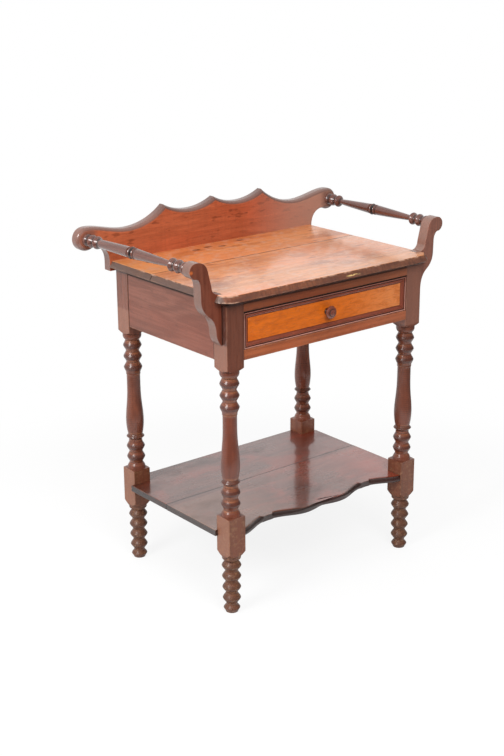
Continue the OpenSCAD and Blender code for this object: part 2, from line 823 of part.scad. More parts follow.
function bar_profile(rear_neck) =
    let (p = bar_pitch, half = 0.47 * bar_pitch, groove = 0.62 * bar_bead_r, end = bar_l - bar_shoulder)
    let (ring = 0.523 * bar_l, ring_half = 5.4, neck_a = 3.2 * p, neck_b = bar_l - 2.4 * p)
    concat(
        [[0, -bar_tenon_l], [bar_tenon_r, -bar_tenon_l], [bar_tenon_r, bar_shoulder]],
        bead(bar_shoulder + half, half, bar_bead_r * 0.95, groove, groove),
        bead(1.5 * p, half, bar_bead_r, groove, groove),
        bead(2.5 * p, half, bar_bead_r, groove, bar_neck_r),
        [for (t = [0 : 0.125 : 1])
            [bar_swell(bar_neck_r, t), neck_a + t * (ring - 2 * ring_half - 2 - neck_a)]],
        bead(ring - ring_half, 0.8 * ring_half, bar_body_r + 0.6, bar_body_r - 3, bar_body_r - 3),
        bead(ring + ring_half, ring_half, bar_body_r + 1.6, bar_body_r - 3, bar_body_r - 3),
        [for (t = [1 : -0.125 : 0])
            [bar_swell(rear_neck, t), neck_b - t * (neck_b - ring - 2 * ring_half - 2)]],
        bead(bar_l - 1.87 * p, half, bar_bead_r, rear_neck, groove),
        bead(bar_l - 0.91 * p, half, bar_bead_r, groove, groove),
        [[bar_bead_r * 0.9, end - 0.22 * p], [bar_bead_r * 0.97, end],
         [bar_tenon_r, end], [bar_tenon_r, bar_l + bar_tenon_l], [0, bar_l + bar_tenon_l]]
    );

module towel_bar(right) {
    color("brown")
    mirror([right ? 0 : 1, 0, 0])
    on_bar()
    rotate_extrude()
    polygon(bar_profile(right ? bar_neck_r : bar_left_neck_r));
}

// Shelf
shelf_crown = 0.21 * inner_x;

function shelf_curve() =
    let (low = shelf_front_y + shelf_recess, high = shelf_front_y + 6, mid = high + shelf_notch)
    let (end = [shelf_notch_x, shelf_front_y], pit = 0.63 * inner_x)
    concat(
        open_end(bezier([0, mid], [10, mid], [shelf_crown - 24, high], [shelf_crown, high], 8)),
        open_end(bezier([shelf_crown, high], [shelf_crown + 38, high], [pit - 44, low], [pit, low], 9)),
        bezier([pit, low], [pit + 34, low], end + [-30, 2], end, 9)
    );

// The rounding is narrower on the two crowns beside the notch
function shelf_edge(x) = shelf_round * (1 - 0.6 * exp(-pow((x - shelf_crown) / 28, 2)));

module shelf_board_front() {
    back_y = shelf_seam_y - seam_gap / 2;
    half = concat(
        [for (p = shelf_curve()) [p[0], p[1], shelf_edge(p[0])]],
        edged([[shelf_notch_x, shelf_notch_front_y], [shelf_x, shelf_notch_front_y]], 0),
        edged(straight([shelf_x, back_y], [0, back_y], 12), 0)
    );
    left = [for (i = [len(half) - 1 : -1 : 1]) [-half[i][0], half[i][1], half[i][2]]];
    rounding = [[0, 0.3], [0.16, 0.08], [0.35, 0], [0.6, 0.14], [0.8, 0.38], [0.94, 0.7], [1, 1]];
    color("rosybrown")
    translate([0, 0, shelf_z])
    worked_board(concat(half, [[0, back_y, 0]], left),
        [for (level = rounding) [level[0] * shelf_t, level[1]]]);
}

module shelf_board_rear() {
    half = [[shelf_x, shelf_seam_y + seam_gap / 2], [shelf_x, shelf_notch_rear_y],
        [shelf_notch_x, shelf_notch_rear_y], [shelf_notch_x, shelf_back_y]];
    color("rosybrown")
    translate([0, 0, shelf_z])
    linear_extrude(shelf_t)
    polygon(concat(half, mirrored(half)));
}

// Drawer. A dovetailed side's tails in the plane of Y and Z, and the grown sockets
module tails(grow) {
    for (i = [0 : tails - 1]) {
        z = drawer_z + (i + 0.5) * tail_pitch;
        root = 0.22 * tail_pitch + grow;
        end = 0.32 * tail_pitch + grow;
        polygon([[board_rear_y + over, z - root], [board_rear_y - tail_l - grow, z - end],
            [board_rear_y - tail_l - grow, z + end], [board_rear_y + over, z + root]]);
    }
}

// Turns a shape drawn in Y and Z and gives it a thickness along X, from x
module from_side(x, thickness) {
    translate([x, 0, 0])
    rotate([90, 0, 90])
    linear_extrude(thickness)
    children();
}

module drawer_side(right) {
    color("burlywood")
    mirror([right ? 0 : 1, 0, 0])
    difference() {
        union() {
            translate([drawer_inner_x, board_rear_y, drawer_z])
            cube([drawer_side_t, drawer_rear_y - board_rear_y, side_top_z - drawer_z]);
            from_side(drawer_inner_x, drawer_side_t)
            tails(0);
        }
        translate([drawer_inner_x - over, drawer_y, bottom_z - bore_gap])
        cube([groove_d + over, drawer_rear_y - drawer_y + over, drawer_bottom_t + 2 * bore_gap]);
    }
}

module drawer_front() {
    color("saddlebrown")
    difference() {
        translate([-drawer_x, drawer_y, drawer_z])
        cube([2 * drawer_x, drawer_front_t, drawer_top_z - drawer_z]);
        for (side = [0, 1])
        mirror([side, 0, 0])
        from_side(drawer_inner_x - tenon_gap, drawer_side_t + tenon_gap + over)
        tails(tenon_gap);
        translate([-drawer_inner_x - groove_d, board_rear_y - groove_d, bottom_z - bore_gap])
        cube([2 * (drawer_inner_x + groove_d), groove_d + over, drawer_bottom_t + 2 * bore_gap]);
        knob_bore();
    }
}

module drawer_panel() {
    x = drawer_x - moulding_w - bore_gap;
    half_h = front_half_h - moulding_w - bore_gap;
    color("orange")
    difference() {
        translate([-x, drawer_y - panel_t, drawer_mid_z - half_h])
        cube([2 * x, panel_t, 2 * half_h]);
        knob_bore();
    }
}

// A length of moulding along X, its outer edge on Y = 0, with both ends mitred
module moulding(l) {
    w = moulding_w;
    t = moulding_t;
    difference() {
        rotate([90, 0, 90])
        linear_extrude(l)
        polygon(concat(
            [[0, 0], [w, 0]],
            arc([w, t], 0.76 * t, 270, 190, 6),
            [[0.36 * w, 0.86 * t], [0.34 * w, 0.6 * t], [0.26 * w, 0.6 * t]],
            arc([0.13 * w, t - 0.13 * w], 0.13 * w, 0, 180, 6)
        ));
        for (end = [0, 1])
        translate([end * l, 0, -over])
        mirror([end, 0, 0])
        rotate([0, 0, 45])
        translate([-far / 10, 0, 0])
        cube([far / 5, 4 * w, t + 2 * over]);
    }
}

// Places a moulding on the drawer front: the turn is about Y, and reach is from the middle
module drawer_moulding(l, reach, turn) {
    color("maroon")
    translate([0, drawer_y, drawer_mid_z])
    rotate([0, turn, 0])
    rotate([90, 0, 0])
    translate([-l / 2, -reach, 0])
    moulding(l);
}

module drawer_moulding_bottom() drawer_moulding(2 * drawer_x, front_half_h, 0);

module drawer_moulding_top() drawer_moulding(2 * drawer_x, front_half_h, 180);

module drawer_moulding_right() drawer_moulding(2 * front_half_h, drawer_x, -90);

module drawer_moulding_left() drawer_moulding(2 * front_half_h, drawer_x, 90);

module drawer_back() {
    z = bottom_z + drawer_bottom_t;
    color("burlywood")
    difference() {
        translate([-drawer_inner_x, drawer_rear_y - drawer_side_t, z])
        cube([2 * drawer_inner_x, drawer_side_t, side_top_z - 6 - z]);
        drawer_nail_holes();
    }
}

module drawer_bottom() {
    x = drawer_inner_x + groove_d - fit_gap;
    y = board_rear_y - groove_d + fit_gap;
    color("burlywood")
    difference() {
        translate([-x, y, bottom_z])
        cube([2 * x, drawer_rear_y - y, drawer_bottom_t]);
        drawer_nail_holes();
    }
}

module at_drawer_nails() {
    for (share = nail_shares)
    translate([share * drawer_inner_x, drawer_rear_y - drawer_side_t / 2, bottom_z])
    children();
}

module drawer_nails() {
    color("dimgray")
    at_drawer_nails() {
        cylinder(h = nail_l, r = nail_r);
        cylinder(h = nail_r, r = 2 * nail_r);
    }
}

module drawer_nail_holes() {
    at_drawer_nails() {
        translate([0, 0, -over])
        cylinder(h = nail_l + over + bore_gap, r = nail_r + bore_gap);
        translate([0, 0, -over])
        cylinder(h = nail_r + over, r = 2 * nail_r + bore_gap);
    }
}

// Radius and height, as shares of the knob's radius and reach
knob_shape = [
    [0.55, 0], [0.55, 0.05], [0.46, 0.14], [0.5, 0.28], [0.78, 0.44], [0.96, 0.54],
    [1, 0.62], [0.96, 0.72], [0.84, 0.8], [0.62, 0.85], [0.52, 0.86], [0.5, 0.92],
    [0.36, 0.97], [0, 1]
];

module drawer_knob() {
    l = drawer_front_t + panel_t;
    color("maroon")
    translate([0, drawer_y - panel_t, drawer_mid_z])
    rotate([90, 0, 0])
    rotate_extrude()
    polygon(concat(
        [[0, -l], [knob_tenon_r, -l], [knob_tenon_r, 0]],
        [for (p = knob_shape) [p[0] * knob_r, p[1] * knob_reach]]
    ));
}

module knob_bore() {
    translate([0, board_rear_y + over, drawer_mid_z])
    rotate([90, 0, 0])
    cylinder(h = drawer_front_t + moulding_t + 2 * over, r = knob_tenon_r + bore_gap);
}

leg(false, false);  // leg_front_left
leg(true, false);  // leg_front_right
leg(false, true);  // leg_rear_left
leg(true, true);  // leg_rear_right
side_apron(false);  // side_apron_left
side_apron(true);  // side_apron_right
rear_apron();
front_rail_upper();
front_rail_lower();
drawer_runner(false);  // drawer_runner_left
drawer_runner(true);  // drawer_runner_right
drawer_guide(false);  // drawer_guide_left
drawer_guide(true);  // drawer_guide_right
drawer_kicker(false);  // drawer_kicker_left
drawer_kicker(true);  // drawer_kicker_right
drawer_stops();
glue_blocks();
top_board_front();
top_board_rear();
top_screws();
splashback();
splashback_screws();
towel_bracket(false);  // towel_bracket_left
towel_bracket(true);  // towel_bracket_right
bracket_screws();
towel_bar(false);  // towel_bar_left
towel_bar(true);  // towel_bar_right
shelf_board_front();
shelf_board_rear();
drawer_front();
drawer_panel();
drawer_moulding_top();
drawer_moulding_bottom();
drawer_moulding_left();
drawer_moulding_right();
drawer_side(false);  // drawer_side_left
drawer_side(true);  // drawer_side_right
drawer_back();
drawer_bottom();
drawer_nails();
drawer_knob();
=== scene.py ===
import json
import math

import bpy
from bpy.props import FloatProperty, FloatVectorProperty, IntProperty, PointerProperty
from mathutils import Matrix, Vector

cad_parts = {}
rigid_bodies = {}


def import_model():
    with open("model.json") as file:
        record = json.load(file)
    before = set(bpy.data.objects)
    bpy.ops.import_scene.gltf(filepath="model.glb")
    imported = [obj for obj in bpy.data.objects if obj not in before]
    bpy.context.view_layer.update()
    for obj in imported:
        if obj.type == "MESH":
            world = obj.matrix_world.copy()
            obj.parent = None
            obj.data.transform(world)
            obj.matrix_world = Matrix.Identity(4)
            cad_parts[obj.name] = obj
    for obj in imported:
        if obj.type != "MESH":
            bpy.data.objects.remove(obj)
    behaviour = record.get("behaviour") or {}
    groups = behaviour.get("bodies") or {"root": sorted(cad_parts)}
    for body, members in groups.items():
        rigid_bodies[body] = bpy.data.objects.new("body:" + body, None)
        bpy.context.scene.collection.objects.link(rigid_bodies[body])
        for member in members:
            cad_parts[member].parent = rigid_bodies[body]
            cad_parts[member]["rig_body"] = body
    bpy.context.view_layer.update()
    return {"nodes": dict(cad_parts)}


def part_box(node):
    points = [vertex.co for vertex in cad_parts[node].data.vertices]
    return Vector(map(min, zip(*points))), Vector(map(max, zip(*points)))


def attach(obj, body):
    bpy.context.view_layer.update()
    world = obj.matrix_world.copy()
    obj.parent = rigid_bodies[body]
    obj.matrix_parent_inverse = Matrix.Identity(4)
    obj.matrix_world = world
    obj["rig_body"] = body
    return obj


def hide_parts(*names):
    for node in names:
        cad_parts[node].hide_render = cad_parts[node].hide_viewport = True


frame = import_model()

bl_info = {
    "name": "Washstand with towel rails",
    "version": (1, 0, 0),
    "blender": (4, 5, 0),
    "location": "3D View > Sidebar > Washstand",
    "description": "Builds the looks of a turned-leg washstand around its frame",
    "category": "Object",
}

SIDES = {"left": -1, "right": 1}

# Places that the frame gives, from a piece's lowest and highest corners
(_, FRONT, UNDER_TOP), (TOP_SIDE, SEAM, TOP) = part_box("top_board_front")
(_, SPLASH_FRONT, _), (_, SPLASH_BACK, PEAK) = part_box("splashback")
(_, LEG_FRONT, _), (LEG_SIDE, _, _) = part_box("leg_front_right")
LEG_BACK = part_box("leg_rear_right")[1].y
(_, BRACKET_FRONT, BRACKET_FOOT), (_, BRACKET_BACK, _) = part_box("towel_bracket_right")
(_, SHELF_FRONT, SHELF_LOW), (SHELF_SIDE, SHELF_SEAM, SHELF_HIGH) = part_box("shelf_board_front")
SHELF_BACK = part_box("shelf_board_rear")[1].y
CASE_LOW, CASE_HIGH = (corner.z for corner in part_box("side_apron_right"))
(_, DRAWER_FACE, DRAWER_LOW), (DRAWER_SIDE, _, DRAWER_HIGH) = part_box("drawer_front")
DRAWER_MIDDLE = (DRAWER_LOW + DRAWER_HIGH) / 2
DRAWER_HALF = (DRAWER_HIGH - DRAWER_LOW) / 2
PANEL_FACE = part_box("drawer_panel")[0].y
STOCK = 0.044
INNER_SIDE = LEG_SIDE - STOCK

# Depth of the shelf's housing, and the bracket screws' places below the top
HOUSING = 0.004
BRACKET_SCREWS = (0.028, 0.050)
# How near two points are one
WELD = 0.000005
# Tint of the dark joints, and of the painted shade in gaps and under the top
SOOT = (0.012, 0.006, 0.004)
# Where each wood's pattern starts
SEEDS = {"leg": 1.0, "case": 7.0, "top": 13.0, "splash": 17.0, "bracket": 19.0, "bar": 23.0, "shelf": 29.0,
         "front": 31.0, "panel": 37.0, "moulding": 41.0, "knob": 47.0, "inside": 53.0}

# Ends of the right-hand towel rail's axis, at its bracket and at the splashback
RAIL_FRONT = Vector((0.337, BRACKET_BACK, 0.770))
RAIL_REAR = Vector((0.348, SPLASH_FRONT, 0.770))


# Curves in the plane of a board


def arc(centre, radius, start, end, steps):
    turns = [math.radians(start + (end - start) * i / steps) for i in range(steps + 1)]
    return [(centre[0] + radius * math.cos(a), centre[1] + radius * math.sin(a)) for a in turns]


def shifted(point, across, up):
    return (point[0] + across, point[1] + up)


def bend(a, leave, arrive, d, steps):
    """Points along a curve from a to d; leave and arrive lead from its ends to its handles"""
    b, c = shifted(a, *leave), shifted(d, *arrive)
    shares = [i / steps for i in range(steps + 1)]
    return [tuple((1 - t) ** 3 * a[k] + 3 * (1 - t) ** 2 * t * b[k] + 3 * (1 - t) * t * t * c[k]
                  + t ** 3 * d[k] for k in (0, 1)) for t in shares]


def through(points, steps=5):
    """A smooth curve through points"""
    ends = [points[0], *points, points[-1]]
    curve = []
    for a, b, c, d in zip(ends, ends[1:], ends[2:], ends[3:]):
        for t in (i / steps for i in range(steps)):
            curve.append(tuple(b[k] + 0.5 * t * (
                c[k] - a[k] + t * (2 * a[k] - 5 * b[k] + 4 * c[k] - d[k]
                                   + t * (3 * b[k] - a[k] - 3 * c[k] + d[k]))) for k in (0, 1)))
    return curve + [points[-1]]


def bead(height, half, crest, low, high, steps=16):
    """Radius and height over one bead: round at its crest, steep at its sides"""
    def fall(t):
        return (t * t + 0.03) ** 0.575

    points = []
    for t in (2 * i / steps - 1 for i in range(steps + 1)):
        drop = (fall(t) - fall(0)) / (fall(1) - fall(0))
        points.append((crest - (crest - (low if t < 0 else high)) * drop, height + t * half))
    return points


def spool(height, half, crest, low, high, steps=14):
    """Radius and height over one spool: slanted sides, softened at the crest and in the grooves"""
    points = []
    for t in (2 * i / steps - 1 for i in range(steps + 1)):
        drop = abs(t) - 0.05 * math.sin(2 * math.pi * abs(t))
        points.append((crest - (crest - (low if t < 0 else high)) * drop, height + t * half))
    return points


# Bench work, as by hand


def clear_bench():
    if bpy.context.mode != "OBJECT":
        bpy.ops.object.mode_set(mode="OBJECT")
    bpy.ops.object.select_all(action="DESELECT")


def take(piece):
    clear_bench()
    piece.select_set(True)
    bpy.context.view_layer.objects.active = piece


def open_edit(piece, pick=False):
    take(piece)
    bpy.ops.object.mode_set(mode="EDIT")
    bpy.ops.mesh.select_mode(type="VERT")
    bpy.ops.mesh.select_all(action="SELECT" if pick else "DESELECT")


def close_edit():
    bpy.ops.object.mode_set(mode="OBJECT")


def drawn_line(name, points):
    """A line of edges, pulled from one point to the next"""
    clear_bench()
    bpy.ops.mesh.primitive_plane_add(size=0.01, location=points[0])
    piece = bpy.context.object
    piece.name = name
    piece.data.name = name
    place_in_mesh(piece)
    open_edit(piece, True)
    bpy.ops.mesh.merge(type="CENTER")
    for here, there in zip(points, points[1:]):
        bpy.ops.mesh.extrude_region_move(
            TRANSFORM_OT_translate={"value": tuple(b - a for a, b in zip(here, there))})
    return piece


def place_in_mesh(piece):
    take(piece)
    bpy.ops.object.transform_apply(location=True, rotation=True, scale=True)


def outward():
    bpy.ops.mesh.select_all(action="SELECT")
    bpy.ops.mesh.remove_doubles(threshold=WELD)
    bpy.ops.mesh.normals_make_consistent(inside=False)


def sawn_board(name, outline, thickness):
    """A board from a closed outline of points in space, given its thickness by a vector"""
    piece = drawn_line(name, outline)
    bpy.ops.mesh.select_all(action="SELECT")
    bpy.ops.mesh.edge_face_add()
    bpy.ops.mesh.extrude_region_move(TRANSFORM_OT_translate={"value": thickness})
    outward()
    close_edit()
    return piece


def turned(name, profile, foot, axis, out, steps):
    """Round work: a profile of radius and height, turned about the axis through foot"""
    points = [Vector(foot) + Vector(out) * r + Vector(axis) * h for r, h in profile]
    piece = drawn_line(name, points)
    bpy.ops.mesh.select_all(action="SELECT")
    bpy.ops.mesh.spin(steps=steps, angle=2 * math.pi, center=foot, axis=axis)
    outward()
    close_edit()
    return piece


def apply_modifier(piece, kind, **settings):
    take(piece)
    modifier = piece.modifiers.new(kind.title(), kind)
    for key, value in settings.items():
        setattr(modifier, key, value)
    bpy.ops.object.modifier_apply(modifier=modifier.name)


def eased(piece, width, angle=40, segments=2):
    """Takes the sharpness off every arris"""
    apply_modifier(piece, "BEVEL", width=width, segments=segments, limit_method="ANGLE",
                   angle_limit=math.radians(angle), miter_outer="MITER_ARC")


def weighted_bevel(piece, width, share, segments=3, profile=0.5):
    """Bevels each edge to a share of the width; share gives it from the edge's two ends"""
    weights = piece.data.attributes.new("bevel_weight_edge", "FLOAT", "EDGE")
    places = [v.co for v in piece.data.vertices]
    weights.data.foreach_set("value", [share(places[e.vertices[0]], places[e.vertices[1]])
                                       for e in piece.data.edges])
    apply_modifier(piece, "BEVEL", width=width, segments=segments, limit_method="WEIGHT",
                   profile=profile, use_clamp_overlap=False)


def smoothed(piece, angle=35):
    """Soft shading over round work, with flat faces left flat"""
    take(piece)
    if piece.data.has_custom_normals:
        bpy.ops.mesh.customdata_custom_splitnormals_clear()
    bpy.ops.object.shade_smooth_by_angle(angle=math.radians(angle))
    apply_modifier(piece, "WEIGHTED_NORMAL", keep_sharp=True)


def cut(piece, tool, operation="DIFFERENCE"):
    """Cuts a shape out of a piece, or joins or keeps it, and puts the shape away"""
    apply_modifier(piece, "BOOLEAN", operation=operation, solver="EXACT", object=tool)
    bpy.data.objects.remove(tool)


def drill(piece, place, axis, length):
    """A screw's hole with its countersink"""
    profile = [(0, -0.001), (0.0049, -0.001), (0.0049, 0), (0.0025, 0.00264), (0.0025, length), (0, length)]
    cut(piece, turned("drill", profile, place, axis, (0, 0, 1), 24))


def bracket_screw_holes(piece, reach):
    """Holes for the two screws that go through a front leg into its bracket"""
    for drop in BRACKET_SCREWS:
        drill(piece, (INNER_SIDE, (BRACKET_FRONT + BRACKET_BACK) / 2, UNDER_TOP - drop), (1, 0, 0), reach)


def sawn_off(piece, point, normal):
    """Saws off what lies past a plane"""
    open_edit(piece, True)
    bpy.ops.mesh.bisect(plane_co=point, plane_no=normal, use_fill=True, clear_outer=True)
    outward()
    close_edit()


def copied(piece, name):
    other = bpy.data.objects.new(name, piece.data.copy())
    bpy.context.scene.collection.objects.link(other)
    return other


def for_other_side(piece, name):
    """The same piece, mirrored for the left-hand side"""
    other = copied(piece, name)
    other.scale = (-1, 1, 1)
    place_in_mesh(other)
    open_edit(other, True)
    outward()
    close_edit()
    return other


def block(low, high):
    """A plain block between two corners, for cutting"""
    clear_bench()
    middle = (Vector(low) + Vector(high)) / 2
    bpy.ops.mesh.primitive_cube_add(size=1, location=middle, scale=Vector(high) - Vector(low))
    piece = bpy.context.object
    place_in_mesh(piece)
    return piece


def planed(node, ease, angle=40):
    """The frame's own shape with its arrises eased, in the place of the plain one"""
    piece = copied(frame["nodes"][node], node + "_wood")
    open_edit(piece, True)
    bpy.ops.mesh.remove_doubles(threshold=WELD)
    if ease:
        bpy.ops.mesh.dissolve_limited(angle_limit=math.radians(0.4))
    close_edit()
    if ease:
        eased(piece, ease)
    smoothed(piece, angle)
    return piece


def fitted(piece, finish, slot, *nodes):
    """Gives a piece its finish and hangs it on the body of the nodes that it stands for"""
    place_in_mesh(piece)
    piece.data.materials.clear()
    piece.data.materials.append(finish)
    body = frame["nodes"][nodes[0]]["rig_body"]
    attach(piece, body)
    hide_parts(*nodes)
    return piece


# Shader maths


class Value:
    """A socket with Python's own operators"""

    def __init__(self, finish, socket):
        self.finish = finish
        self.socket = socket

    def math(self, operation, other=None, swapped=False):
        pair = (other, self) if swapped else (self, other)
        return self.finish.node("ShaderNodeMath", {"operation": operation},
                                {i: v for i, v in enumerate(pair) if v is not None})

    def __add__(self, other):
        return self.math("ADD", other)

    __radd__ = __add__

    def __mul__(self, other):
        return self.math("MULTIPLY", other)

    __rmul__ = __mul__

    def __sub__(self, other):
        return self.math("SUBTRACT", other)

    def __rsub__(self, other):
        return self.math("SUBTRACT", other, True)

    def lower(self, other):
        return self.math("MINIMUM", other)

    def higher(self, other):
        return self.math("MAXIMUM", other)

    def size(self):
        return self.math("ABSOLUTE")

    def wave(self):
        return self.math("SINE")

    def root(self):
        return self.math("SQRT")

    def step(self, low, high):
        """0 at low and 1 at high, with a smooth way between"""
        return self.finish.node("ShaderNodeMapRange", {"interpolation_type": "SMOOTHSTEP"},
                                {"Value": self, "From Min": low, "From Max": high})

    def fade(self, low, high):
        """1 at low and 0 at high"""
        return 1 - self.step(low, high)


class Finish:
    """One finish and its nodes, on the coordinates of the object or of the world"""

    def __init__(self, name, owner=None, coordinates="Object"):
        self.material = owner or bpy.data.materials.new(name)
        self.material.use_nodes = True
        self.tree = self.material.node_tree
        self.tree.nodes.clear()
        self.place = self.node("ShaderNodeTexCoord", out=coordinates)
        split = self.tree.nodes.new("ShaderNodeSeparateXYZ")
        self.tree.links.new(self.place.socket, split.inputs[0])
        self.x, self.y, self.z = (Value(self, s) for s in split.outputs)

    def node(self, kind, settings=None, sockets=None, out=0):
        made = self.tree.nodes.new(kind)
        for key, value in (settings or {}).items():
            setattr(made, key, value)
        for key, value in (sockets or {}).items():
            if isinstance(value, Value):
                self.tree.links.new(value.socket, made.inputs[key])
            else:
                made.inputs[key].default_value = value
        return Value(self, made.outputs[out]) if made.outputs else None

    def stretched(self, scale, shift=(0, 0, 0)):
        return self.node("ShaderNodeMapping", None, {"Vector": self.place, "Location": shift, "Scale": scale})

    def noise(self, vector, scale=1.0, detail=3.0, rough=0.5, warp=0.0):
        return self.node("ShaderNodeTexNoise", None, {
            "Vector": vector, "Scale": scale, "Detail": detail, "Roughness": rough, "Distortion": warp})

    def patches(self, scale, low, high, detail, rough=0.5, warp=0.0, shift=(0, 0, 0)):
        """1 on patches of noise stretched by a scale, and 0 between them"""
        return self.noise(self.stretched(scale, shift), 1, detail, rough, warp).step(low, high)

    def blend(self, share, a, b):
        """Colour a with b laid over it by a share"""
        a, b = (v if isinstance(v, Value) else (*v[:3], 1) for v in (a, b))
        return self.node("ShaderNodeMix", {"data_type": "RGBA"}, {0: share, 6: a, 7: b}, 2)

    def coats(self, colour, **layers):
        """A colour with named layers laid over it in turn, each a share and a tint"""
        for share, tint in layers.values():
            colour = self.blend(share, colour, tint)
        return colour

    def surface(self, colour, rough, height, depth, specular, coat=0.0, coat_rough=0.2, metal=0.0):
        bump = self.node("ShaderNodeBump", None, {"Height": height, "Distance": depth, "Strength": 1.0})
        shader = self.node("ShaderNodeBsdfPrincipled", None, {
            "Base Color": colour, "Roughness": rough, "Normal": bump, "Specular IOR Level": specular,
            "Coat Weight": coat, "Coat Roughness": coat_rough, "Metallic": metal})
        self.node("ShaderNodeOutputMaterial", None, {"Surface": shader})
        return self.material


GRAIN = {"x": 0, "y": 1, "z": 2}


def along_grain(axis, along, across):
    scale = [across] * 3
    scale[GRAIN[axis]] = along
    return tuple(scale)


def times(colour, *shares):
    return tuple(min(1, c * s) for c, s in zip(colour, shares * (3 if len(shares) == 1 else 1)))


def wood(name, base, grain, seed=0.0, box=None, streak=0.5, speck=0.3, stain=0.3, wear=0.3, gloss=0.3,
         specular=0.5, coat=0.0, coat_rough=0.12, bare=(0.5, 0.27, 0.16), extra=None):
    """Old finished wood: figure, streaks and fibre along the grain, pores, dark specks and stains.
    The seed shifts the pattern. With a box, arrises near its edges are worn to the bare colour and hold
    dirt beside them."""
    base = tuple(base)
    f = Finish(name)
    f.coat = coat
    shift = (seed * 1.7, seed * 2.3, seed * 3.1)

    def layer(along, across, detail=2.0, rough=0.5, warp=0.0):
        return f.noise(f.stretched(along_grain(grain, along, across), shift), 1, detail, rough, warp)

    broad = layer(1.6, 14, 3, 0.55, 0.3)
    lines = layer(3.5, 190, 4, 0.7, 0.2)
    fibre = layer(18, 620, 2, 0.6)
    rings = (broad * 55 + layer(1, 4, 1) * 14).wave() * 0.5 + 0.5
    cloud = layer(6, 6, 4, 0.6)
    red = layer(2.5, 8, 2)
    tone = broad * 0.32 + lines * 0.46 + rings * 0.12 + fibre * 0.1
    colour = f.blend(tone.step(0.38, 0.62), times(base, 1 - 0.6 * streak, 1 - 0.7 * streak, 1 - 0.74 * streak),
                     times(base, 1 + 0.3 * streak, 1 + 0.42 * streak, 1 + 0.5 * streak))
    pores = layer(60, 1700, 1).step(0.58, 0.72)
    colour = f.coats(colour, redder=(red.step(0.45, 0.7) * 0.4, times(base, 1.1, 0.72, 0.6)),
                     specks=(layer(24, 80, 2).step(0.64, 0.73) * speck, times(base, 0.3, 0.22, 0.2)),
                     stains=(cloud.step(0.48, 0.74) * stain, times(base, 0.42, 0.45, 0.5)),
                     pores=(pores * 0.4, times(base, 0.32, 0.28, 0.26)))
    rough = cloud.step(0.3, 0.7) * 0.1 + fibre * 0.08 + (gloss - 0.06)
    height = fibre * 0.3 - pores * 0.45 + lines * 0.25
    if box:
        low, high = box
        gaps = [(value - low[k]).lower(high[k] - value) for k, value in enumerate((f.x, f.y, f.z))]
        near = gaps[0].lower(gaps[1]).higher(gaps[0].higher(gaps[1]).lower(gaps[2]))
        chips = layer(60, 60, 3, 0.7)
        worn = near.fade(0.0004, 0.0028) * chips.step(0.4, 0.6)
        grime = near.fade(0.002, 0.014) * cloud.step(0.35, 0.6)
        colour = f.coats(colour, grime=(grime * 0.3, times(base, 0.3)), worn=(worn * wear, bare))
        rough = rough + worn * 0.15
        height = height - worn * 0.5
    if extra:
        colour, rough, height = extra(f, colour, rough, height)
    return f.surface(colour, rough, height, 0.0004, specular, f.coat, coat_rough)


def bands(along, places, half):
    """1 in bands at places along a run, and 0 between them"""
    share = None
    for place in places:
        band = 1 - (along - place).size().step(half * 0.5, half)
        share = share.higher(band) if share else band
    return share


def spots(f, places, radius):
    """1 on ragged spots at places on a board's face, and 0 between them"""
    ragged = f.noise(f.stretched((60, 130, 60)), 1, 4, 0.65) * 1.2 + 0.4
    nearest = None
    for x, y in places:
        along, across = (f.x - x) * 0.6, f.y - y
        gap = (along * along + across * across).root()
        nearest = nearest.lower(gap) if nearest else gap
    return 1 - (nearest * ragged).step(radius * 0.4, radius)


def length(name, description, default):
    return FloatProperty(name=name, description=description, default=default, min=0, unit="LENGTH")


class WashstandSizes(bpy.types.PropertyGroup):
    """Sizes that are worked in the scene"""
    arris: length("Arris", "Width of the eased arrises", 0.0009)
    stock: length("Leg stock", "Side of the legs' square stock", STOCK)
    stock_arris: length("Leg arris", "Width of the arris on the legs' stock", 0.0014)
    tenon: length("Tenon", "Thickness of the tenons", 0.009)
    bead_pitch: length("Bead pitch", "From bead to bead on the legs", 0.0256)
    bead: length("Spool", "Radius of the legs' spools", 0.0208)
    groove: length("Groove", "Radius of the grooves between the upper spools", 0.0148)
    foot_bead: length("Foot spool", "Radius of the highest spool of a foot", 0.0212)
    foot_groove: length("Foot groove", "Radius of the highest groove of a foot", 0.0143)
    foot_taper: length("Foot taper", "How much each spool of a foot is smaller than the one over it", 0.0005)
    collar: length("Collar", "Radius of the grooves over the lower blocks", 0.0152)
    vase: length("Vase", "Largest radius of the legs' vases", 0.0202)
    neck: length("Neck", "Radius of the legs' necks", 0.0152)
    sole: length("Sole", "Radius of the legs' soles", 0.0135)
    foot_beads: IntProperty(name="Foot beads", description="Beads on each foot", default=4, min=1, max=6)
    splash_bevel: length("Splashback bevel", "Width of the splashback's bevel", 0.009)
    scroll: length("Scroll", "Radius of the splashback's scrolls", 0.0255)
    bracket_head: length("Bracket head", "Radius of the towel brackets' heads", 0.0165)
    rail_pitch: length("Towel rail pitch", "From bead to bead on the towel rails", 0.0205)
    rail_bead: length("Towel rail bead", "Radius of the towel rails' beads", 0.014)
    rail_body: length("Towel rail body", "Radius of the towel rails' swelled bodies", 0.0115)
    rail_tenon: length("Towel rail tenon", "Radius of the towel rails' tenons", 0.006)
    shelf_round: length("Shelf edge", "Width of the rounding along the shelf's front edge", 0.0095)
    moulding: length("Moulding", "Width of the mouldings round the panel", 0.0135)
    moulding_rise: length("Moulding rise", "Thickness of the mouldings", 0.0075)
    knob: length("Knob", "Radius of the drawer knob", 0.014)
    knob_reach: length("Knob reach", "How far the knob stands out", 0.020)
    steps: IntProperty(name="Turning steps", description="Facets round turned work", default=56, min=16, max=96)


def wood_colour(name, description, default):
    return FloatVectorProperty(name=name, description=description, subtype="COLOR", size=3, min=0, max=1,
                               default=default)


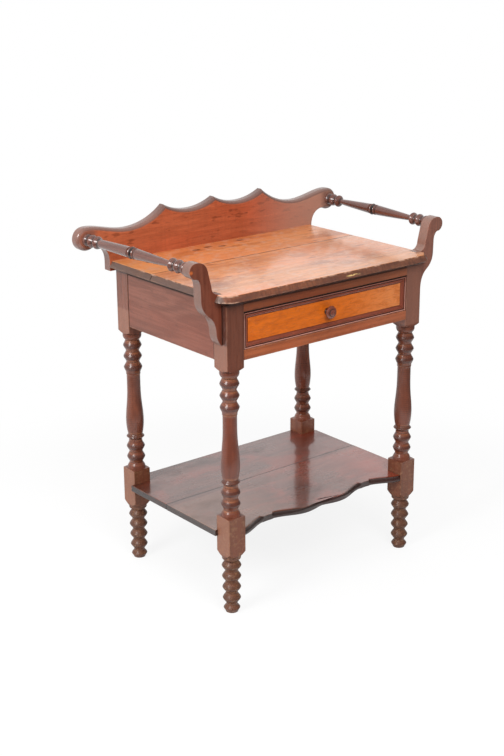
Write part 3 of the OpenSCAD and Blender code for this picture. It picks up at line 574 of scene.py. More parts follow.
class WashstandColours(bpy.types.PropertyGroup):
    """Middle tones of the woods"""
    leg: wood_colour("Legs", "Turned legs", (0.175, 0.05, 0.026))
    case: wood_colour("Case", "Aprons at the sides and back", (0.235, 0.08, 0.05))
    upper_rail: wood_colour("Upper rail", "Rail over the drawer", (0.29, 0.083, 0.034))
    lower_rail: wood_colour("Lower rail", "Rail under the drawer", (0.42, 0.118, 0.044))
    top: wood_colour("Top", "Boards of the top", (0.72, 0.275, 0.095))
    splash: wood_colour("Splashback", "Splashback", (0.47, 0.115, 0.047))
    bracket: wood_colour("Brackets", "Towel brackets", (0.19, 0.054, 0.029))
    towel: wood_colour("Towel rails", "Turned towel rails", (0.13, 0.044, 0.029))
    shelf: wood_colour("Shelf", "Boards of the shelf", (0.13, 0.036, 0.02))
    front: wood_colour("Drawer front", "Edges of the drawer front", (0.2, 0.06, 0.034))
    panel: wood_colour("Drawer panel", "Panel of the drawer front", (0.72, 0.155, 0.01))
    moulding: wood_colour("Mouldings", "Mouldings round the panel", (0.24, 0.058, 0.03))
    knob: wood_colour("Knob", "Drawer knob", (0.21, 0.055, 0.03))
    inside: wood_colour("Inside", "Drawer sides, runners and blocks", (0.42, 0.25, 0.13))
    steel: wood_colour("Steel", "Screws and nails", (0.35, 0.34, 0.33))


class WashstandStage(bpy.types.PropertyGroup):
    """Floor, light and camera"""
    floor: wood_colour("Floor", "Colour of the floor", (0.9, 0.9, 0.9))
    key_power: FloatProperty(name="Key light", description="Power of the light on the left", default=44,
                             unit="POWER")
    fill_power: FloatProperty(name="Fill light", description="Power of the light in front", default=66,
                              unit="POWER")
    room: FloatProperty(name="Room light", description="Strength of the light from the room", default=0.22)
    backdrop: FloatProperty(name="Backdrop light", description="What the backdrop adds to the room's light",
                            default=0.5)
    lens: FloatProperty(name="Lens", description="Focal length on a 36 mm frame", default=65.548, unit="CAMERA")


def settings():
    return bpy.context.scene.washstand_sizes, bpy.context.scene.washstand_colours


class WASHSTAND_OT_legs(bpy.types.Operator):
    """Turned legs with their square blocks"""
    bl_idname = "washstand.legs"
    bl_label = "Legs"

    # Ends of the lower blocks, lower ends of the upper ones, and how far the turnings run into them
    block_low, block_high = SHELF_HIGH - 0.0475, SHELF_HIGH + 0.032
    square_low = CASE_LOW - 0.015
    overlap = 0.001
    # In pitches: from a block down to its first spool, half a spool, and a foot's ends
    first_bead, half_spool, foot_ends = 1.37, 0.49, 1.65
    # In pitches over a lower block: its two spools and the ring over them
    collar_spools, ring_place = (1.14, 2.14), 3.07
    # How light each leg is, how far its grooves are rubbed and its upper block is faded
    tones = {("front", "left"): (0.88, 0.5, 0.05), ("front", "right"): (0.9, 0.3, 0.45),
             ("rear", "left"): (1.05, 0.4, 0.1), ("rear", "right"): (1.5, 0.25, 0.1)}

    def foot_pitch(self, sizes):
        return self.block_low / (sizes.foot_beads + self.foot_ends)

    def foot(self, sizes):
        """Radius and height from the sole to the lower block"""
        low, crest, groove, taper = self.block_low, sizes.foot_bead, sizes.foot_groove, sizes.foot_taper
        pitch = self.foot_pitch(sizes)
        points = [(0, 0), (sizes.sole, 0)]
        points += spool(0.36 * pitch, 0.34 * pitch, crest * 0.85, sizes.sole, groove - taper * sizes.foot_beads)
        for i in reversed(range(sizes.foot_beads)):
            points += spool(low - (self.first_bead + i) * pitch, self.half_spool * pitch, crest - taper * i,
                            groove - taper * (i + 1), groove - taper * i)
        points += through([(groove + 0.0004, low - 0.86 * pitch), (groove + 0.0014, low - 0.82 * pitch),
                           (sizes.bead - 0.001, low - 0.72 * pitch), (sizes.bead - 0.0003, low - 0.6 * pitch)])
        return points + [(sizes.bead - 0.0003, low + self.overlap), (0, low + self.overlap)]

    def shaft(self, sizes):
        """Radius and height from the lower block to the upper one"""
        low, high, pitch = self.block_high, self.square_low, sizes.bead_pitch
        crest, collar, neck, vase = sizes.bead, sizes.collar, sizes.neck, sizes.vase
        groove, cove, flange = sizes.groove, sizes.groove + 0.0008, sizes.neck + 0.001
        half, ring = self.half_spool * pitch, low + self.ring_place * pitch
        points = [(0, low - self.overlap), (crest, low - self.overlap)]
        points += through([(crest, low + 0.1 * pitch), (crest - 0.0014, low + 0.32 * pitch),
                           (collar + 0.0012, low + 0.52 * pitch), (collar, low + 0.62 * pitch)])
        for i in self.collar_spools:
            points += spool(low + i * pitch, half, crest, collar, collar)
        points += spool(ring, 0.22 * pitch, crest - 0.0004, collar, collar + 0.001, 8)
        start, end = ring + 0.34 * pitch, high - 4.1 * pitch
        fullest, drawn_in, hollow = 0.22, 0.003, 2.4
        for t in (i / 32 for i in range(33)):
            swell = (0.5 + 0.5 * math.cos(math.pi * (t - fullest) / (1 - fullest))) ** hollow
            radius = neck + (vase - neck) * swell
            if t < fullest:
                radius = vase - drawn_in * ((fullest - t) / fullest) ** 2
            points.append((radius, start + t * (end - start)))
        points += [(neck + 0.0003, end + 0.05 * pitch), (flange, end + 0.09 * pitch),
                   (flange, high - (self.first_bead + 2.53) * pitch)]
        for i in (2, 1, 0):
            points += spool(high - (self.first_bead + i) * pitch, half, crest, flange if i == 2 else groove,
                            groove if i else cove)
        points += through([(cove + 0.0004, high - 0.86 * pitch), (cove + 0.0012, high - 0.82 * pitch),
                           (crest - 0.001, high - 0.66 * pitch), (crest + 0.0002, high - 0.5 * pitch)])
        return points + [(crest + 0.0002, high + self.overlap), (0, high + self.overlap)]

    def turned_block(self, sizes, low, high, low_cone, high_cone):
        """Square stock with its ends turned to a cone"""
        half, crest, corner = sizes.stock / 2, sizes.bead, sizes.stock * math.sqrt(0.5)
        top = high + high_cone
        stock = block((-half, -half, low - low_cone - 0.002), (half, half, top + (0.002 if high_cone else 0)))
        weighted_bevel(stock, sizes.stock_arris, lambda a, b: 1 if abs(a.z - b.z) > 0.001 else 0, 2)
        end = [(crest, top), (0, top)] if high_cone else [(corner, top + 0.005), (0, top + 0.005)]
        profile = [(0, low - low_cone), (crest, low - low_cone), (corner, low), (corner, high), *end]
        cut(stock, turned("cone", profile, (0, 0, 0), (0, 0, 1), (1, 0, 0), 96), "INTERSECT")
        return stock

    def joints(self, sizes, rear):
        """Corners of the mortises and of the shelf's housing in a right-hand leg"""
        gap, over = 0.00015, 0.001
        low_shoulder, high_shoulder, rail_shoulder, rail_start = 0.006, 0.010, 0.003, 0.005
        inner, front = INNER_SIDE - over, LEG_FRONT + sizes.stock
        side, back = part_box("side_apron_right"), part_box("rear_apron")
        half = sizes.tenon / 2 + gap
        low, high = CASE_LOW + low_shoulder - gap, CASE_HIGH - high_shoulder + gap
        middle = (side[0].x + side[1].x) / 2
        near, far = ((LEG_BACK - sizes.stock - over, side[1].y + 2 * gap) if rear
                     else (side[0].y - 2 * gap, front + over))
        yield (middle - half, near, low), (middle + half, far, high)
        if rear:
            middle = (back[0].y + back[1].y) / 2
            yield (inner, middle - half, low), (back[1].x + 2 * gap, middle + half, high)
        else:
            for node in ("front_rail_lower", "front_rail_upper"):
                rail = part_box(node)
                start = LEG_FRONT + rail_start
                yield ((inner, start - gap, rail[0].z + rail_shoulder - gap),
                       (rail[1].x + 2 * gap, start + sizes.tenon + gap, rail[1].z - rail_shoulder + gap))
        near, far = ((LEG_BACK - sizes.stock - over, SHELF_BACK + gap) if rear
                     else (SHELF_FRONT - gap, front + over))
        floor, ceiling, deep = SHELF_LOW - gap, SHELF_HIGH + gap, HOUSING + gap
        yield (inner, near, floor), (INNER_SIDE + deep, far, ceiling)
        near, far = (near, near + over + deep) if rear else (far - over - deep, far)
        yield (inner, near, floor), (LEG_SIDE + over, far, ceiling)

    def right_leg(self, sizes, foot, shaft, rear):
        middle = LEG_BACK - sizes.stock / 2 if rear else LEG_FRONT + sizes.stock / 2
        place = Vector((LEG_SIDE - sizes.stock / 2, middle, 0))
        lower = self.turned_block(sizes, self.block_low, self.block_high, 0.012, 0.0015)
        upper = self.turned_block(sizes, self.square_low, UNDER_TOP, 0.006, 0)
        parts = [lower, upper, copied(foot, "foot"), copied(shaft, "shaft")]
        for part in parts:
            part.location = place
            place_in_mesh(part)
        for low, high in self.joints(sizes, rear):
            cut(lower if high[2] < CASE_LOW else upper, block(low, high))
        if not rear:
            bracket_screw_holes(upper, sizes.stock + 0.01)
        for part in parts[1:]:
            cut(lower, part, "UNION")
        open_edit(lower, True)
        outward()
        close_edit()
        return lower

    def rings(self, sizes):
        """Heights of the grooves and of the crests of a leg's turnings"""
        pitch = self.foot_pitch(sizes)
        grooves = [self.block_low - (self.first_bead - 0.5 + i) * pitch for i in range(sizes.foot_beads + 1)]
        crests = [place - 0.5 * pitch for place in grooves[:-1]]
        pitch = sizes.bead_pitch
        grooves += [self.square_low - (self.first_bead - 0.5 + i) * pitch for i in range(4)]
        crests += [self.square_low - (self.first_bead + i) * pitch for i in range(3)]
        grooves += [self.block_high + share * pitch for share in (0.64, 1.64, 2.62, 2.84, 3.31)]
        crests += [self.block_high + share * pitch for share in (*self.collar_spools, self.ring_place)]
        return grooves, crests

    def worn_turning(self, rings, rubbed, faded, f, colour, rough, height):
        """Tan grooves, dark crests and marks, a dull lower part, painted shade under the top and beside the
        bracket, and a painted sheen on the left faces
        """
        grooves, crests = rings
        uneven = f.noise(f.stretched((45, 45, 70)), 1, 4, 0.6)
        tan = bands(f.z, grooves, 0.0078) * uneven.step(0.35, 0.7)
        line = bands(f.z, grooves, 0.0011) * 0.5
        dark = bands(f.z, crests, 0.0075) * 0.6
        outer = f.x.size().step(LEG_SIDE - 0.0012, LEG_SIDE - 0.0004)
        beside = f.z.step(BRACKET_FOOT - 0.002, BRACKET_FOOT + 0.004)
        # painted shadow on the leg's outer face beside the bracket's front, and painted shade under the top's
        # overhang
        nook = bands(f.y, [BRACKET_FRONT], 0.013) * outer * beside * (f.y * -1).step(0, 0.01)
        shade = bands(f.z, [UNDER_TOP], 0.005).higher(nook) * 0.85
        # the outer left faces are lightened as a painted sheen
        left = outer * (f.x * -1).step(0, 0.01) * (1 - beside)
        foot = f.z.fade(self.block_low - 0.012, self.block_low - 0.004)
        dull = f.z.fade(self.block_high - 0.004, self.block_high + 0.004)
        square = f.z.step(self.square_low - 0.004, self.square_low + 0.004)
        round_part = 1 - square.higher(dull * (1 - foot))
        marks = ((f.z * 1350 + uneven * 7).wave() * 0.5 + 0.5).step(0.5, 0.95) * uneven.step(0.35, 0.6)
        scuffs = f.patches((120, 120, 160), 0.5, 0.66, 4, 0.7)
        # the dark layer holds the groove lines, the crests and the painted shade; the left faces are lightened
        # as a painted sheen
        colour = f.coats(
            colour, tan=(tan * rubbed, (0.4, 0.16, 0.07)), hazy=(left * 0.45, (0.36, 0.16, 0.1)),
            marked=(marks * round_part * 0.45, (0.07, 0.026, 0.018)),
            dark=(line.higher(dark).higher(shade), (0.055, 0.02, 0.015)),
            dull=(dull * 0.2, (0.2, 0.1, 0.05)), foot=(foot * 0.6, (0.085, 0.037, 0.022)),
            scuffed=(dull * scuffs * 0.3, (0.36, 0.2, 0.1)), faded=(square * faded, (0.36, 0.17, 0.12)))
        f.coat = 0.42 - dull * 0.28
        return colour, rough + dull * 0.12, height

    def execute(self, context):
        sizes, colours = settings()
        rings = self.rings(sizes)
        foot, shaft = (turned(name, profile, (0, 0, 0), (0, 0, 1), (1, 0, 0), sizes.steps)
                       for name, profile in (("foot", self.foot(sizes)), ("shaft", self.shaft(sizes))))
        for number, row in enumerate(("front", "rear")):
            right = self.right_leg(sizes, foot, shaft, row == "rear")
            for piece, side in ((for_other_side(right, "leg"), "left"), (right, "right")):
                node = "leg_" + row + "_" + side
                piece.name = node + "_turned"
                smoothed(piece, 33)
                share, rubbed, faded = self.tones[row, side]
                finish = wood("leg_wood_" + row + "_" + side, times(colours.leg, share), "z",
                              SEEDS["leg"] + 2.0 * number + (side == "right"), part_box(node), gloss=0.26,
                              stain=0.35, streak=0.34, wear=0.14, specular=0.28, coat_rough=0.17,
                              extra=lambda *parts: self.worn_turning(rings, rubbed, faded, *parts))
                fitted(piece, finish, "leg_wood", node)
        for pattern in (foot, shaft):
            bpy.data.objects.remove(pattern)
        return {"FINISHED"}


class WASHSTAND_OT_case(bpy.types.Operator):
    """Aprons and rails between the legs"""
    bl_idname = "washstand.case"
    bl_label = "Case"

    def execute(self, context):
        sizes, colours = settings()
        side, rail = ("y", 0.45, self.open_joint), ("x", 0.3, self.dark_gap)
        boards = {"side_apron_left": (colours.case, *side), "side_apron_right": (colours.case, *side),
                  "rear_apron": (colours.case, "x", 0.45, None),
                  "front_rail_upper": (colours.upper_rail, *rail),
                  "front_rail_lower": (colours.lower_rail, *rail)}
        for number, (node, (base, grain, specular, extra)) in enumerate(boards.items()):
            finish = wood("case_wood_" + node, base, grain, SEEDS["case"] + number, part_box(node), gloss=0.34,
                          specular=specular, streak=0.4, stain=0.2, extra=extra)
            fitted(planed(node, sizes.arris), finish, "case_wood", node)
        return {"FINISHED"}

    def dark_gap(self, f, colour, rough, height):
        """Painted shade along the gap over the drawer and under the top, and a painted sheen on the right end
        """
        # painted shade along the gap over the drawer and in a band under the top's overhang
        soot = bands(f.z, [DRAWER_HIGH + 0.001], 0.003).higher(bands(f.z, [UNDER_TOP], 0.005) * 0.75)
        # the right end is lightened as a painted sheen
        colour = f.coats(colour, paler=(f.x.step(-0.05, 0.3) * 0.22, (0.5, 0.2, 0.12)), soot=(soot, SOOT))
        return colour, rough + soot * 0.3, height

    def open_joint(self, f, colour, rough, height):
        """Dark slits where a side apron meets its legs, and painted shade along its top under the top's
        overhang
        """
        stock = settings()[0].stock
        slit = bands(f.y, [LEG_FRONT + stock, LEG_BACK - stock], 0.0024)
        # the band under the top is painted shade beneath its overhang
        slit = slit.higher(bands(f.z, [UNDER_TOP], 0.006)) * 0.85
        return f.blend(slit, colour, SOOT), rough + slit * 0.3, height - slit * 0.5


class WASHSTAND_OT_top(bpy.types.Operator):
    """Two boards of the top with their bevel and undercut"""
    bl_idname = "washstand.top"
    bl_label = "Top"

    # Size of the clipped corners, and places of the marks on the boards and of the chip in the edge
    clip = 0.021
    knots = ((-0.047, 0.164), (-0.016, 0.152), (0.053, 0.173), (-0.085, 0.158), (-0.230, 0.132), (0.139, 0.197))
    smudges = ((-0.242, -0.116), (0.052, -0.108), (0.062, -0.030), (0.094, -0.143), (0.180, -0.131))
    chip = (0.053, 0.7055)

    def execute(self, context):
        sizes, colours = settings()
        marked = {"top_board_front": self.smudged, "top_board_rear": self.knotty}
        for number, (node, mark) in enumerate(marked.items()):
            finish = wood("top_wood_" + node[10:], colours.top, "x", SEEDS["top"] + number, gloss=0.3,
                          streak=0.35, speck=0.7, stain=0.3, coat_rough=0.14,
                          extra=lambda *parts, mark=mark: self.worked_edge(*mark(*parts)))
            fitted(planed(node, sizes.arris), finish, "top_wood", node)
        return {"FINISHED"}

    def figure(self, f, colour):
        """Long darker flames in the wood"""
        flames = f.patches((5, 17, 10), 0.5, 0.66, 5, 0.62, 0.4)
        return f.blend(flames * 0.55, colour, (0.34, 0.085, 0.02))

    def smudged(self, f, colour, rough, height):
        """The polished front board with its smudges"""
        f.coat = 0.75
        smudge = spots(f, self.smudges, 0.022)
        return f, f.blend(smudge * 0.34, self.figure(f, colour), (0.16, 0.075, 0.05)), rough, height

    def knotty(self, f, colour, rough, height):
        """The duller rear board with its knots, yellower at its left"""
        f.coat = 0.45
        left = f.x.fade(-0.34, -0.05)
        colour = f.coats(self.figure(f, colour), redder=(0.12, (0.5, 0.1, 0.02)),
                         yellower=(left * 0.34, (0.95, 0.44, 0.14)),
                         knots=(spots(f, self.knots, 0.0085) * 0.9, (0.06, 0.02, 0.01)))
        return f, colour, rough, height

    def worked_edge(self, f, colour, rough, height):
        """Brown hatched bevel with a painted grey reflection at the sides, painted shade on the undercut, the
        dark joint, worn arrises with a painted highlight at the clipped corners, and the yellow chip
        """
        side = TOP_SIDE - f.x.size()
        front = f.y - FRONT
        corner = (side + front - self.clip) * math.sqrt(0.5)
        edge = side.lower(front).lower(corner)
        chips = f.noise(f.stretched((45, 45, 45)), 1, 4, 0.7)
        bevel = f.z.fade(TOP - 0.0012, TOP - 0.0002)
        # painted shade on the undercut below the edge
        under = f.z.fade(UNDER_TOP + 0.0066, UNDER_TOP + 0.0078)
        # the arrises are worn pale, and lighter near the clipped corners as a painted highlight
        away = 0.8 - corner.step(0.004, 0.03) * 0.65
        arris = edge.fade(0.0004, 0.0016) * chips.step(0.42, 0.6) * away
        lip = bands(f.z, [TOP - 0.0012], 0.0018) * chips.step(0.5, 0.6)
        hatch = f.patches((260, 30, 60), 0.4, 0.65, 3, 0.6)
        grime = f.patches((9, 30, 60), 0.35, 0.65, 4, 0.6)
        joint = bands(f.y, [SEAM], 0.0021)
        ragged = f.noise(f.stretched((110, 60, 300)), 1, 3)
        chip = ((1 - (f.x - self.chip[0]).size().step(0.006, 0.024)) * ragged.step(0.42, 0.5)
                * (1 - (f.z - self.chip[1]).size().step(0.0008, 0.0018)) * bevel)
        # painted grey reflection on the bevel along the sides
        at_side = side.fade(0.008, 0.012)
        # the dark layer holds the painted shade on the undercut and the dark joint between the boards
        colour = f.coats(colour, brown=(bevel * (grime * 0.15 + 0.85), (0.13, 0.046, 0.028)),
                         hatched=(bevel * hatch * 0.45, (0.05, 0.02, 0.013)),
                         grey=(bevel * at_side * 0.7, (0.11, 0.075, 0.062)),
                         dark=(under.higher(joint) * 0.95, (0.03, 0.012, 0.008)),
                         rubbed=(arris.higher(lip * 0.7) * 0.75, (0.66, 0.4, 0.28)),
                         chipped=(chip, (0.74, 0.5, 0.2)))
        f.coat = (1 - bevel) * f.coat
        return colour, rough + bevel * 0.05, height - arris * 0.5


class WASHSTAND_OT_splashback(bpy.types.Operator):
    """Splashback with its waved upper edge and scrolls"""
    bl_idname = "washstand.splashback"
    bl_label = "Splashback"

    # From the middle to a side peak and to the low point beyond it, and the depths of the hollows
    peak_gap, low_gap = 0.141, 0.243
    hollow, outer_hollow = 0.018, 0.0385
    half_width = 0.293
    # A scroll's middle, and the turns in degrees where it meets the foot and the upper edge
    scroll = (0.348, 0.770)
    cusp_turn, curl_turn = 228, 80
    # Shares of the top's half width
    screw_places = (-0.8, -0.27, 0.27, 0.8)

    def half_outline(self, sizes):
        """The right half from the middle of the foot to the middle peak"""
        def hollow_radius(half, deep):
            return (half * half + deep * deep) / (2 * deep)

        radius = sizes.scroll
        inner = hollow_radius(self.peak_gap / 2, self.hollow)
        inner_turn = math.degrees(math.asin(self.peak_gap / 2 / inner))
        outer_half = self.low_gap - self.peak_gap
        outer = hollow_radius(outer_half, self.outer_hollow)
        outer_turn = math.degrees(math.asin(outer_half / outer))
        low = (self.low_gap, PEAK - self.outer_hollow)
        foot = (self.half_width, TOP - 0.002)
        cusp, curl = (arc(self.scroll, radius, turn, turn, 1)[0] for turn in (self.cusp_turn, self.curl_turn))
        points = [(0, UNDER_TOP), (self.half_width, UNDER_TOP)]
        points += bend(foot, (0, 0.025), (-0.024, 0), cusp, 18)[:-1]
        points += arc(self.scroll, radius, self.cusp_turn - 360, self.curl_turn, 36)[:-1]
        points += bend(curl, (-0.0295, 0.005), (0.037, 0), low, 24)[:-1]
        points += arc(shifted(low, 0, outer), outer, 270, 270 - outer_turn, 20)[:-1]
        middle = (self.peak_gap / 2, PEAK - self.hollow + inner)
        points += arc(middle, inner, 270 + inner_turn, 270 - inner_turn, 24)
        return points

    def execute(self, context):
        sizes, colours = settings()
        half = self.half_outline(sizes)
        outline = half + [(-x, z) for x, z in reversed(half[1:-1])]
        piece = sawn_board("splashback_board", [(x, SPLASH_BACK, z) for x, z in outline],
                           (0, SPLASH_FRONT - SPLASH_BACK, 0))
        cusp_z = self.scroll[1] + sizes.scroll * math.sin(math.radians(self.cusp_turn))

        def share(a, b):
            middle = (a + b) / 2
            if max(a.y, b.y) > SPLASH_FRONT + 0.001 or middle.z < TOP:
                return 0
            under_scroll = middle.z < cusp_z + 0.0005 and abs(middle.x) < 0.3312
            return 0.13 if under_scroll else 1

        weighted_bevel(piece, sizes.splash_bevel, share, 4, 0.42)
        eased(piece, 0.0007, 50, 1)
        for place in self.screw_places:
            hole = (place * TOP_SIDE, SPLASH_BACK, (TOP + UNDER_TOP) / 2)
            drill(piece, hole, (0, -1, 0), SPLASH_BACK - SPLASH_FRONT + 0.001)
        for side in SIDES.values():
            cut(piece, rail_bore(sizes, side))
        smoothed(piece, 30)
        finish = wood("splash_wood_board", colours.splash, "x", SEEDS["splash"], gloss=0.36, stain=0.25,
                      speck=0.6, streak=0.28, specular=0.3, coat_rough=0.14, extra=self.dark_edge)
        fitted(piece, finish, "splash_wood", "splashback")
        return {"FINISHED"}

    def dark_edge(self, f, colour, rough, height):
        """Ripples over the face, a painted sheen on the right end, and dark moulded edge, scrolls and tips"""
        edge = f.y.step(SPLASH_FRONT + 0.0002, SPLASH_FRONT + 0.0012)
        behind = f.y.step(SPLASH_BACK - 0.0008, SPLASH_BACK - 0.0002)
        scroll = f.x.size().step(0.318, 0.336) * 0.7
        ripple = f.patches((150, 20, 7), 0.45, 0.7, 3, 0.6)
        fine = f.patches((14, 60, 420), 0.5, 0.7, 3, 0.6)
        tips = f.z.step(PEAK - 0.03, PEAK - 0.002) * edge * 0.5
        f.coat = edge * 0.8 + 0.08
        # the right end is lightened as a painted sheen
        colour = f.coats(colour, rippled=(ripple * 0.25, (0.3, 0.075, 0.03)),
                         streaked=(fine * 0.25, (0.3, 0.07, 0.028)),
                         faded=(f.x.step(0.06, 0.27) * 0.68, (0.46, 0.27, 0.205)),
                         dark=(edge.higher(scroll) * (0.9 - behind * 0.45), (0.17, 0.085, 0.066)),
                         tips=(tips, (0.05, 0.022, 0.018)))
        return colour, rough, height


def rail_axis(side):
    """Foot and direction of a towel rail, from its bracket to the splashback, and its length"""
    front, rear = (Vector((side * end.x, end.y, end.z)) for end in (RAIL_FRONT, RAIL_REAR))
    return front, (rear - front).normalized(), (rear - front).length


def rail_bore(sizes, side):
    """Cutter for a towel rail's tenons, through from the bracket to the splashback"""
    foot, axis, reach = rail_axis(side)
    radius, deep = sizes.rail_tenon + 0.0001, 0.0123
    profile = [(0, -deep), (radius, -deep), (radius, reach + deep), (0, reach + deep)]
    return turned("bore", profile, foot, axis, (0, 0, 1), sizes.steps)


class WASHSTAND_OT_towel_rails(bpy.types.Operator):
    """Towel brackets at the front and the turned rails that they carry"""
    bl_idname = "washstand.towel_rails"
    bl_label = "Towel rails"

    # Radii of the rails' necks, the share of their length at the middle ring, and the brackets' lowest point
    neck = 0.006
    rear_necks = {"left": 0.009, "right": 0.006}
    ring_share = 0.523
    tip = 0.607
    # A chip in the left bracket's head, and how light each bracket is
    chip = (-0.350, -0.182, 0.769)
    tones = {"left": 0.9, "right": 1.3}

    def bracket(self, sizes):
        """The right-hand bracket, sawn to its outline"""
        head, side = (RAIL_FRONT.x, RAIL_FRONT.z), LEG_SIDE
        radius = sizes.bracket_head
        waist, inner_neck = shifted(head, -0.029, -0.008), shifted(head, -0.0365, -0.040)
        heel, shoulder = (side + 0.006, TOP), (head[0] - 0.0105, UNDER_TOP + 0.018)
        hip, knee = (side + 0.033, UNDER_TOP - 0.020), (side + 0.0145, UNDER_TOP - 0.059)
        cusp, neck = arc(head, radius, -72, -72, 1)[0], shifted(head, -0.0098, -0.035)
        tip = (side, self.tip)
        outline = [tip]
        outline += bend(shifted(tip, 0.003, 0), (0.005, 0.005), (-0.001, -0.013), knee, 14)[:-1]
        outline += bend(knee, (0.001, 0.019), (-0.011, -0.008), hip, 16)[:-1]
        outline += bend(hip, (0.010, 0.008), (0, -0.020), shoulder, 16)
        outline += bend(neck, (0.0007, 0.010), (-0.0075, -0.0005), shifted(cusp, -0.0025, 0), 14)[:-1]
        outline += arc(head, radius, -72, 90, 34)[:-1]
        outline += bend(shifted(head, 0, radius), (-0.019, 0), (0.003, 0.014), waist, 20)[:-1]
        outline += bend(waist, (-0.002, -0.010), (0.001, 0.008), inner_neck, 12)[:-1]
        outline += bend(inner_neck, (-0.0015, -0.011), (0.010, 0.001), heel, 16)
        outline += [(side, TOP)]
        piece = sawn_board("bracket", [(x, BRACKET_BACK, z) for x, z in outline],
                           (0, BRACKET_FRONT - BRACKET_BACK, 0))
        eased(piece, 0.0009, 60, 2)
        bracket_screw_holes(piece, sizes.stock + 0.0112)
        cut(piece, rail_bore(sizes, 1))
        return piece

    def rail(self, sizes, side):
        """One turned rail with its beads, ring, swelled bodies and tenons"""
        foot, axis, reach = rail_axis(SIDES[side])
        pitch, crest, body, tenon = sizes.rail_pitch, sizes.rail_bead, sizes.rail_body, sizes.rail_tenon
        half, groove, ring, ring_half = 0.47 * pitch, 0.62 * crest, self.ring_share * reach, 0.0054
        shoulder = 0.0001 + crest * abs(RAIL_REAR.x - RAIL_FRONT.x) / (RAIL_REAR.y - RAIL_FRONT.y)
        deep, end, rear_neck = 0.012, reach - shoulder, self.rear_necks[side]

        def swelled(neck, start, finish):
            return [(neck + (body - neck) * t ** 0.8, start + t * (finish - start))
                    for t in (i / 16 for i in range(17))]

        points = [(0, -deep), (tenon, -deep), (tenon, shoulder)]
        points += bead(shoulder + half, half, crest * 0.95, groove, groove)
        points += bead(1.5 * pitch, half, crest, groove, groove)
        points += bead(2.5 * pitch, half, crest, groove, self.neck)
        points += swelled(self.neck, 3.1 * pitch, ring - 2 * ring_half - 0.002)
        points += bead(ring - ring_half, 0.8 * ring_half, body + 0.0006, body - 0.003, body - 0.003, 8)
        points += bead(ring + ring_half, ring_half, body + 0.0016, body - 0.003, body - 0.003, 10)
        points += swelled(rear_neck, reach - 2.4 * pitch, ring + 2 * ring_half + 0.002)[::-1]
        points += bead(reach - 1.87 * pitch, half, crest, rear_neck, groove)
        points += bead(reach - 0.91 * pitch, half, crest, groove, groove)
        points += [(crest * 0.9, end - 0.22 * pitch), (crest * 0.97, end), (tenon, end),
                   (tenon, reach + deep), (0, reach + deep)]
        piece = turned("towel_rail_" + side, points, foot, axis, (0, 0, 1), sizes.steps)
        smoothed(piece, 38)
        return piece

    def execute(self, context):
        sizes, colours = settings()
        right = self.bracket(sizes)
        brackets = {"left": for_other_side(right, "bracket"), "right": right}
        for number, side in enumerate(SIDES):
            smoothed(brackets[side], 30)
            brackets[side].name = "towel_bracket_" + side + "_sawn"
            finish = wood("bracket_wood_" + side, times(colours.bracket, self.tones[side]), "z",
                          SEEDS["bracket"] + number, gloss=0.34, specular=0.35, extra=self.grey_sides)
            fitted(brackets[side], finish, "bracket_wood", "towel_bracket_" + side)
            foot, axis, reach = rail_axis(SIDES[side])
            pitch, ring = sizes.rail_pitch, self.ring_share * reach
            grooves = [pitch, 2 * pitch, ring - 0.0112, reach - 2.35 * pitch, reach - 1.39 * pitch,
                       reach - 0.4 * pitch]

            def lacquer(f, colour, rough, height, foot=foot, axis=axis, grooves=grooves, ring=ring):
                along = (f.y - foot.y) * axis.y + (f.x - foot.x) * axis.x
                # darker in the grooves and black at the middle ring
                dirt = bands(along, grooves, 0.0035) * 0.7
                black = bands(along, [ring], 0.0042)
                colour = f.blend(dirt.higher(black), colour, (0.012, 0.007, 0.006))
                return colour, rough + dirt * 0.1, height

            finish = wood("bar_wood_" + side, colours.towel, "y", SEEDS["bar"] + number, gloss=0.24,
                          specular=0.4, stain=0.5, coat=0.7, coat_rough=0.06, extra=lacquer)
            fitted(self.rail(sizes, side), finish, "bar_wood", "towel_bar_" + side)
        return {"FINISHED"}

    def grey_sides(self, f, colour, rough, height):
        """Sawn edges greyer than the front face, the grey partly a painted sheen, a painted sheen on the right
        bracket, painted shade where it meets the leg, and the chip
        """
        sawn = f.y.step(BRACKET_FRONT + 0.0006, BRACKET_FRONT + 0.0016)
        across, along, up = f.x - self.chip[0], f.y - self.chip[1], f.z - self.chip[2]
        chip = 1 - (across * across + along * along + up * up).root().step(0.0022, 0.005)
        # painted shade on the bracket where it meets the leg
        seat = 1 - (f.x.size() - LEG_SIDE).step(0.0012, 0.004)
        right = f.x.step(0, 0.1)
        f.coat = sawn * 0.45 + right * 0.12
        # the right bracket is lightened as a painted sheen; the grey of the sawn edges is partly a painted
        # sheen
        colour = f.coats(colour, hazy=(right * 0.35, (0.27, 0.17, 0.14)),
                         grey=(sawn * 0.62, (0.22, 0.13, 0.1)),
                         dirty=(seat * 0.85, (0.02, 0.009, 0.007)),
                         chipped=(chip * 0.85, (0.55, 0.13, 0.03)))
        return colour, rough, height


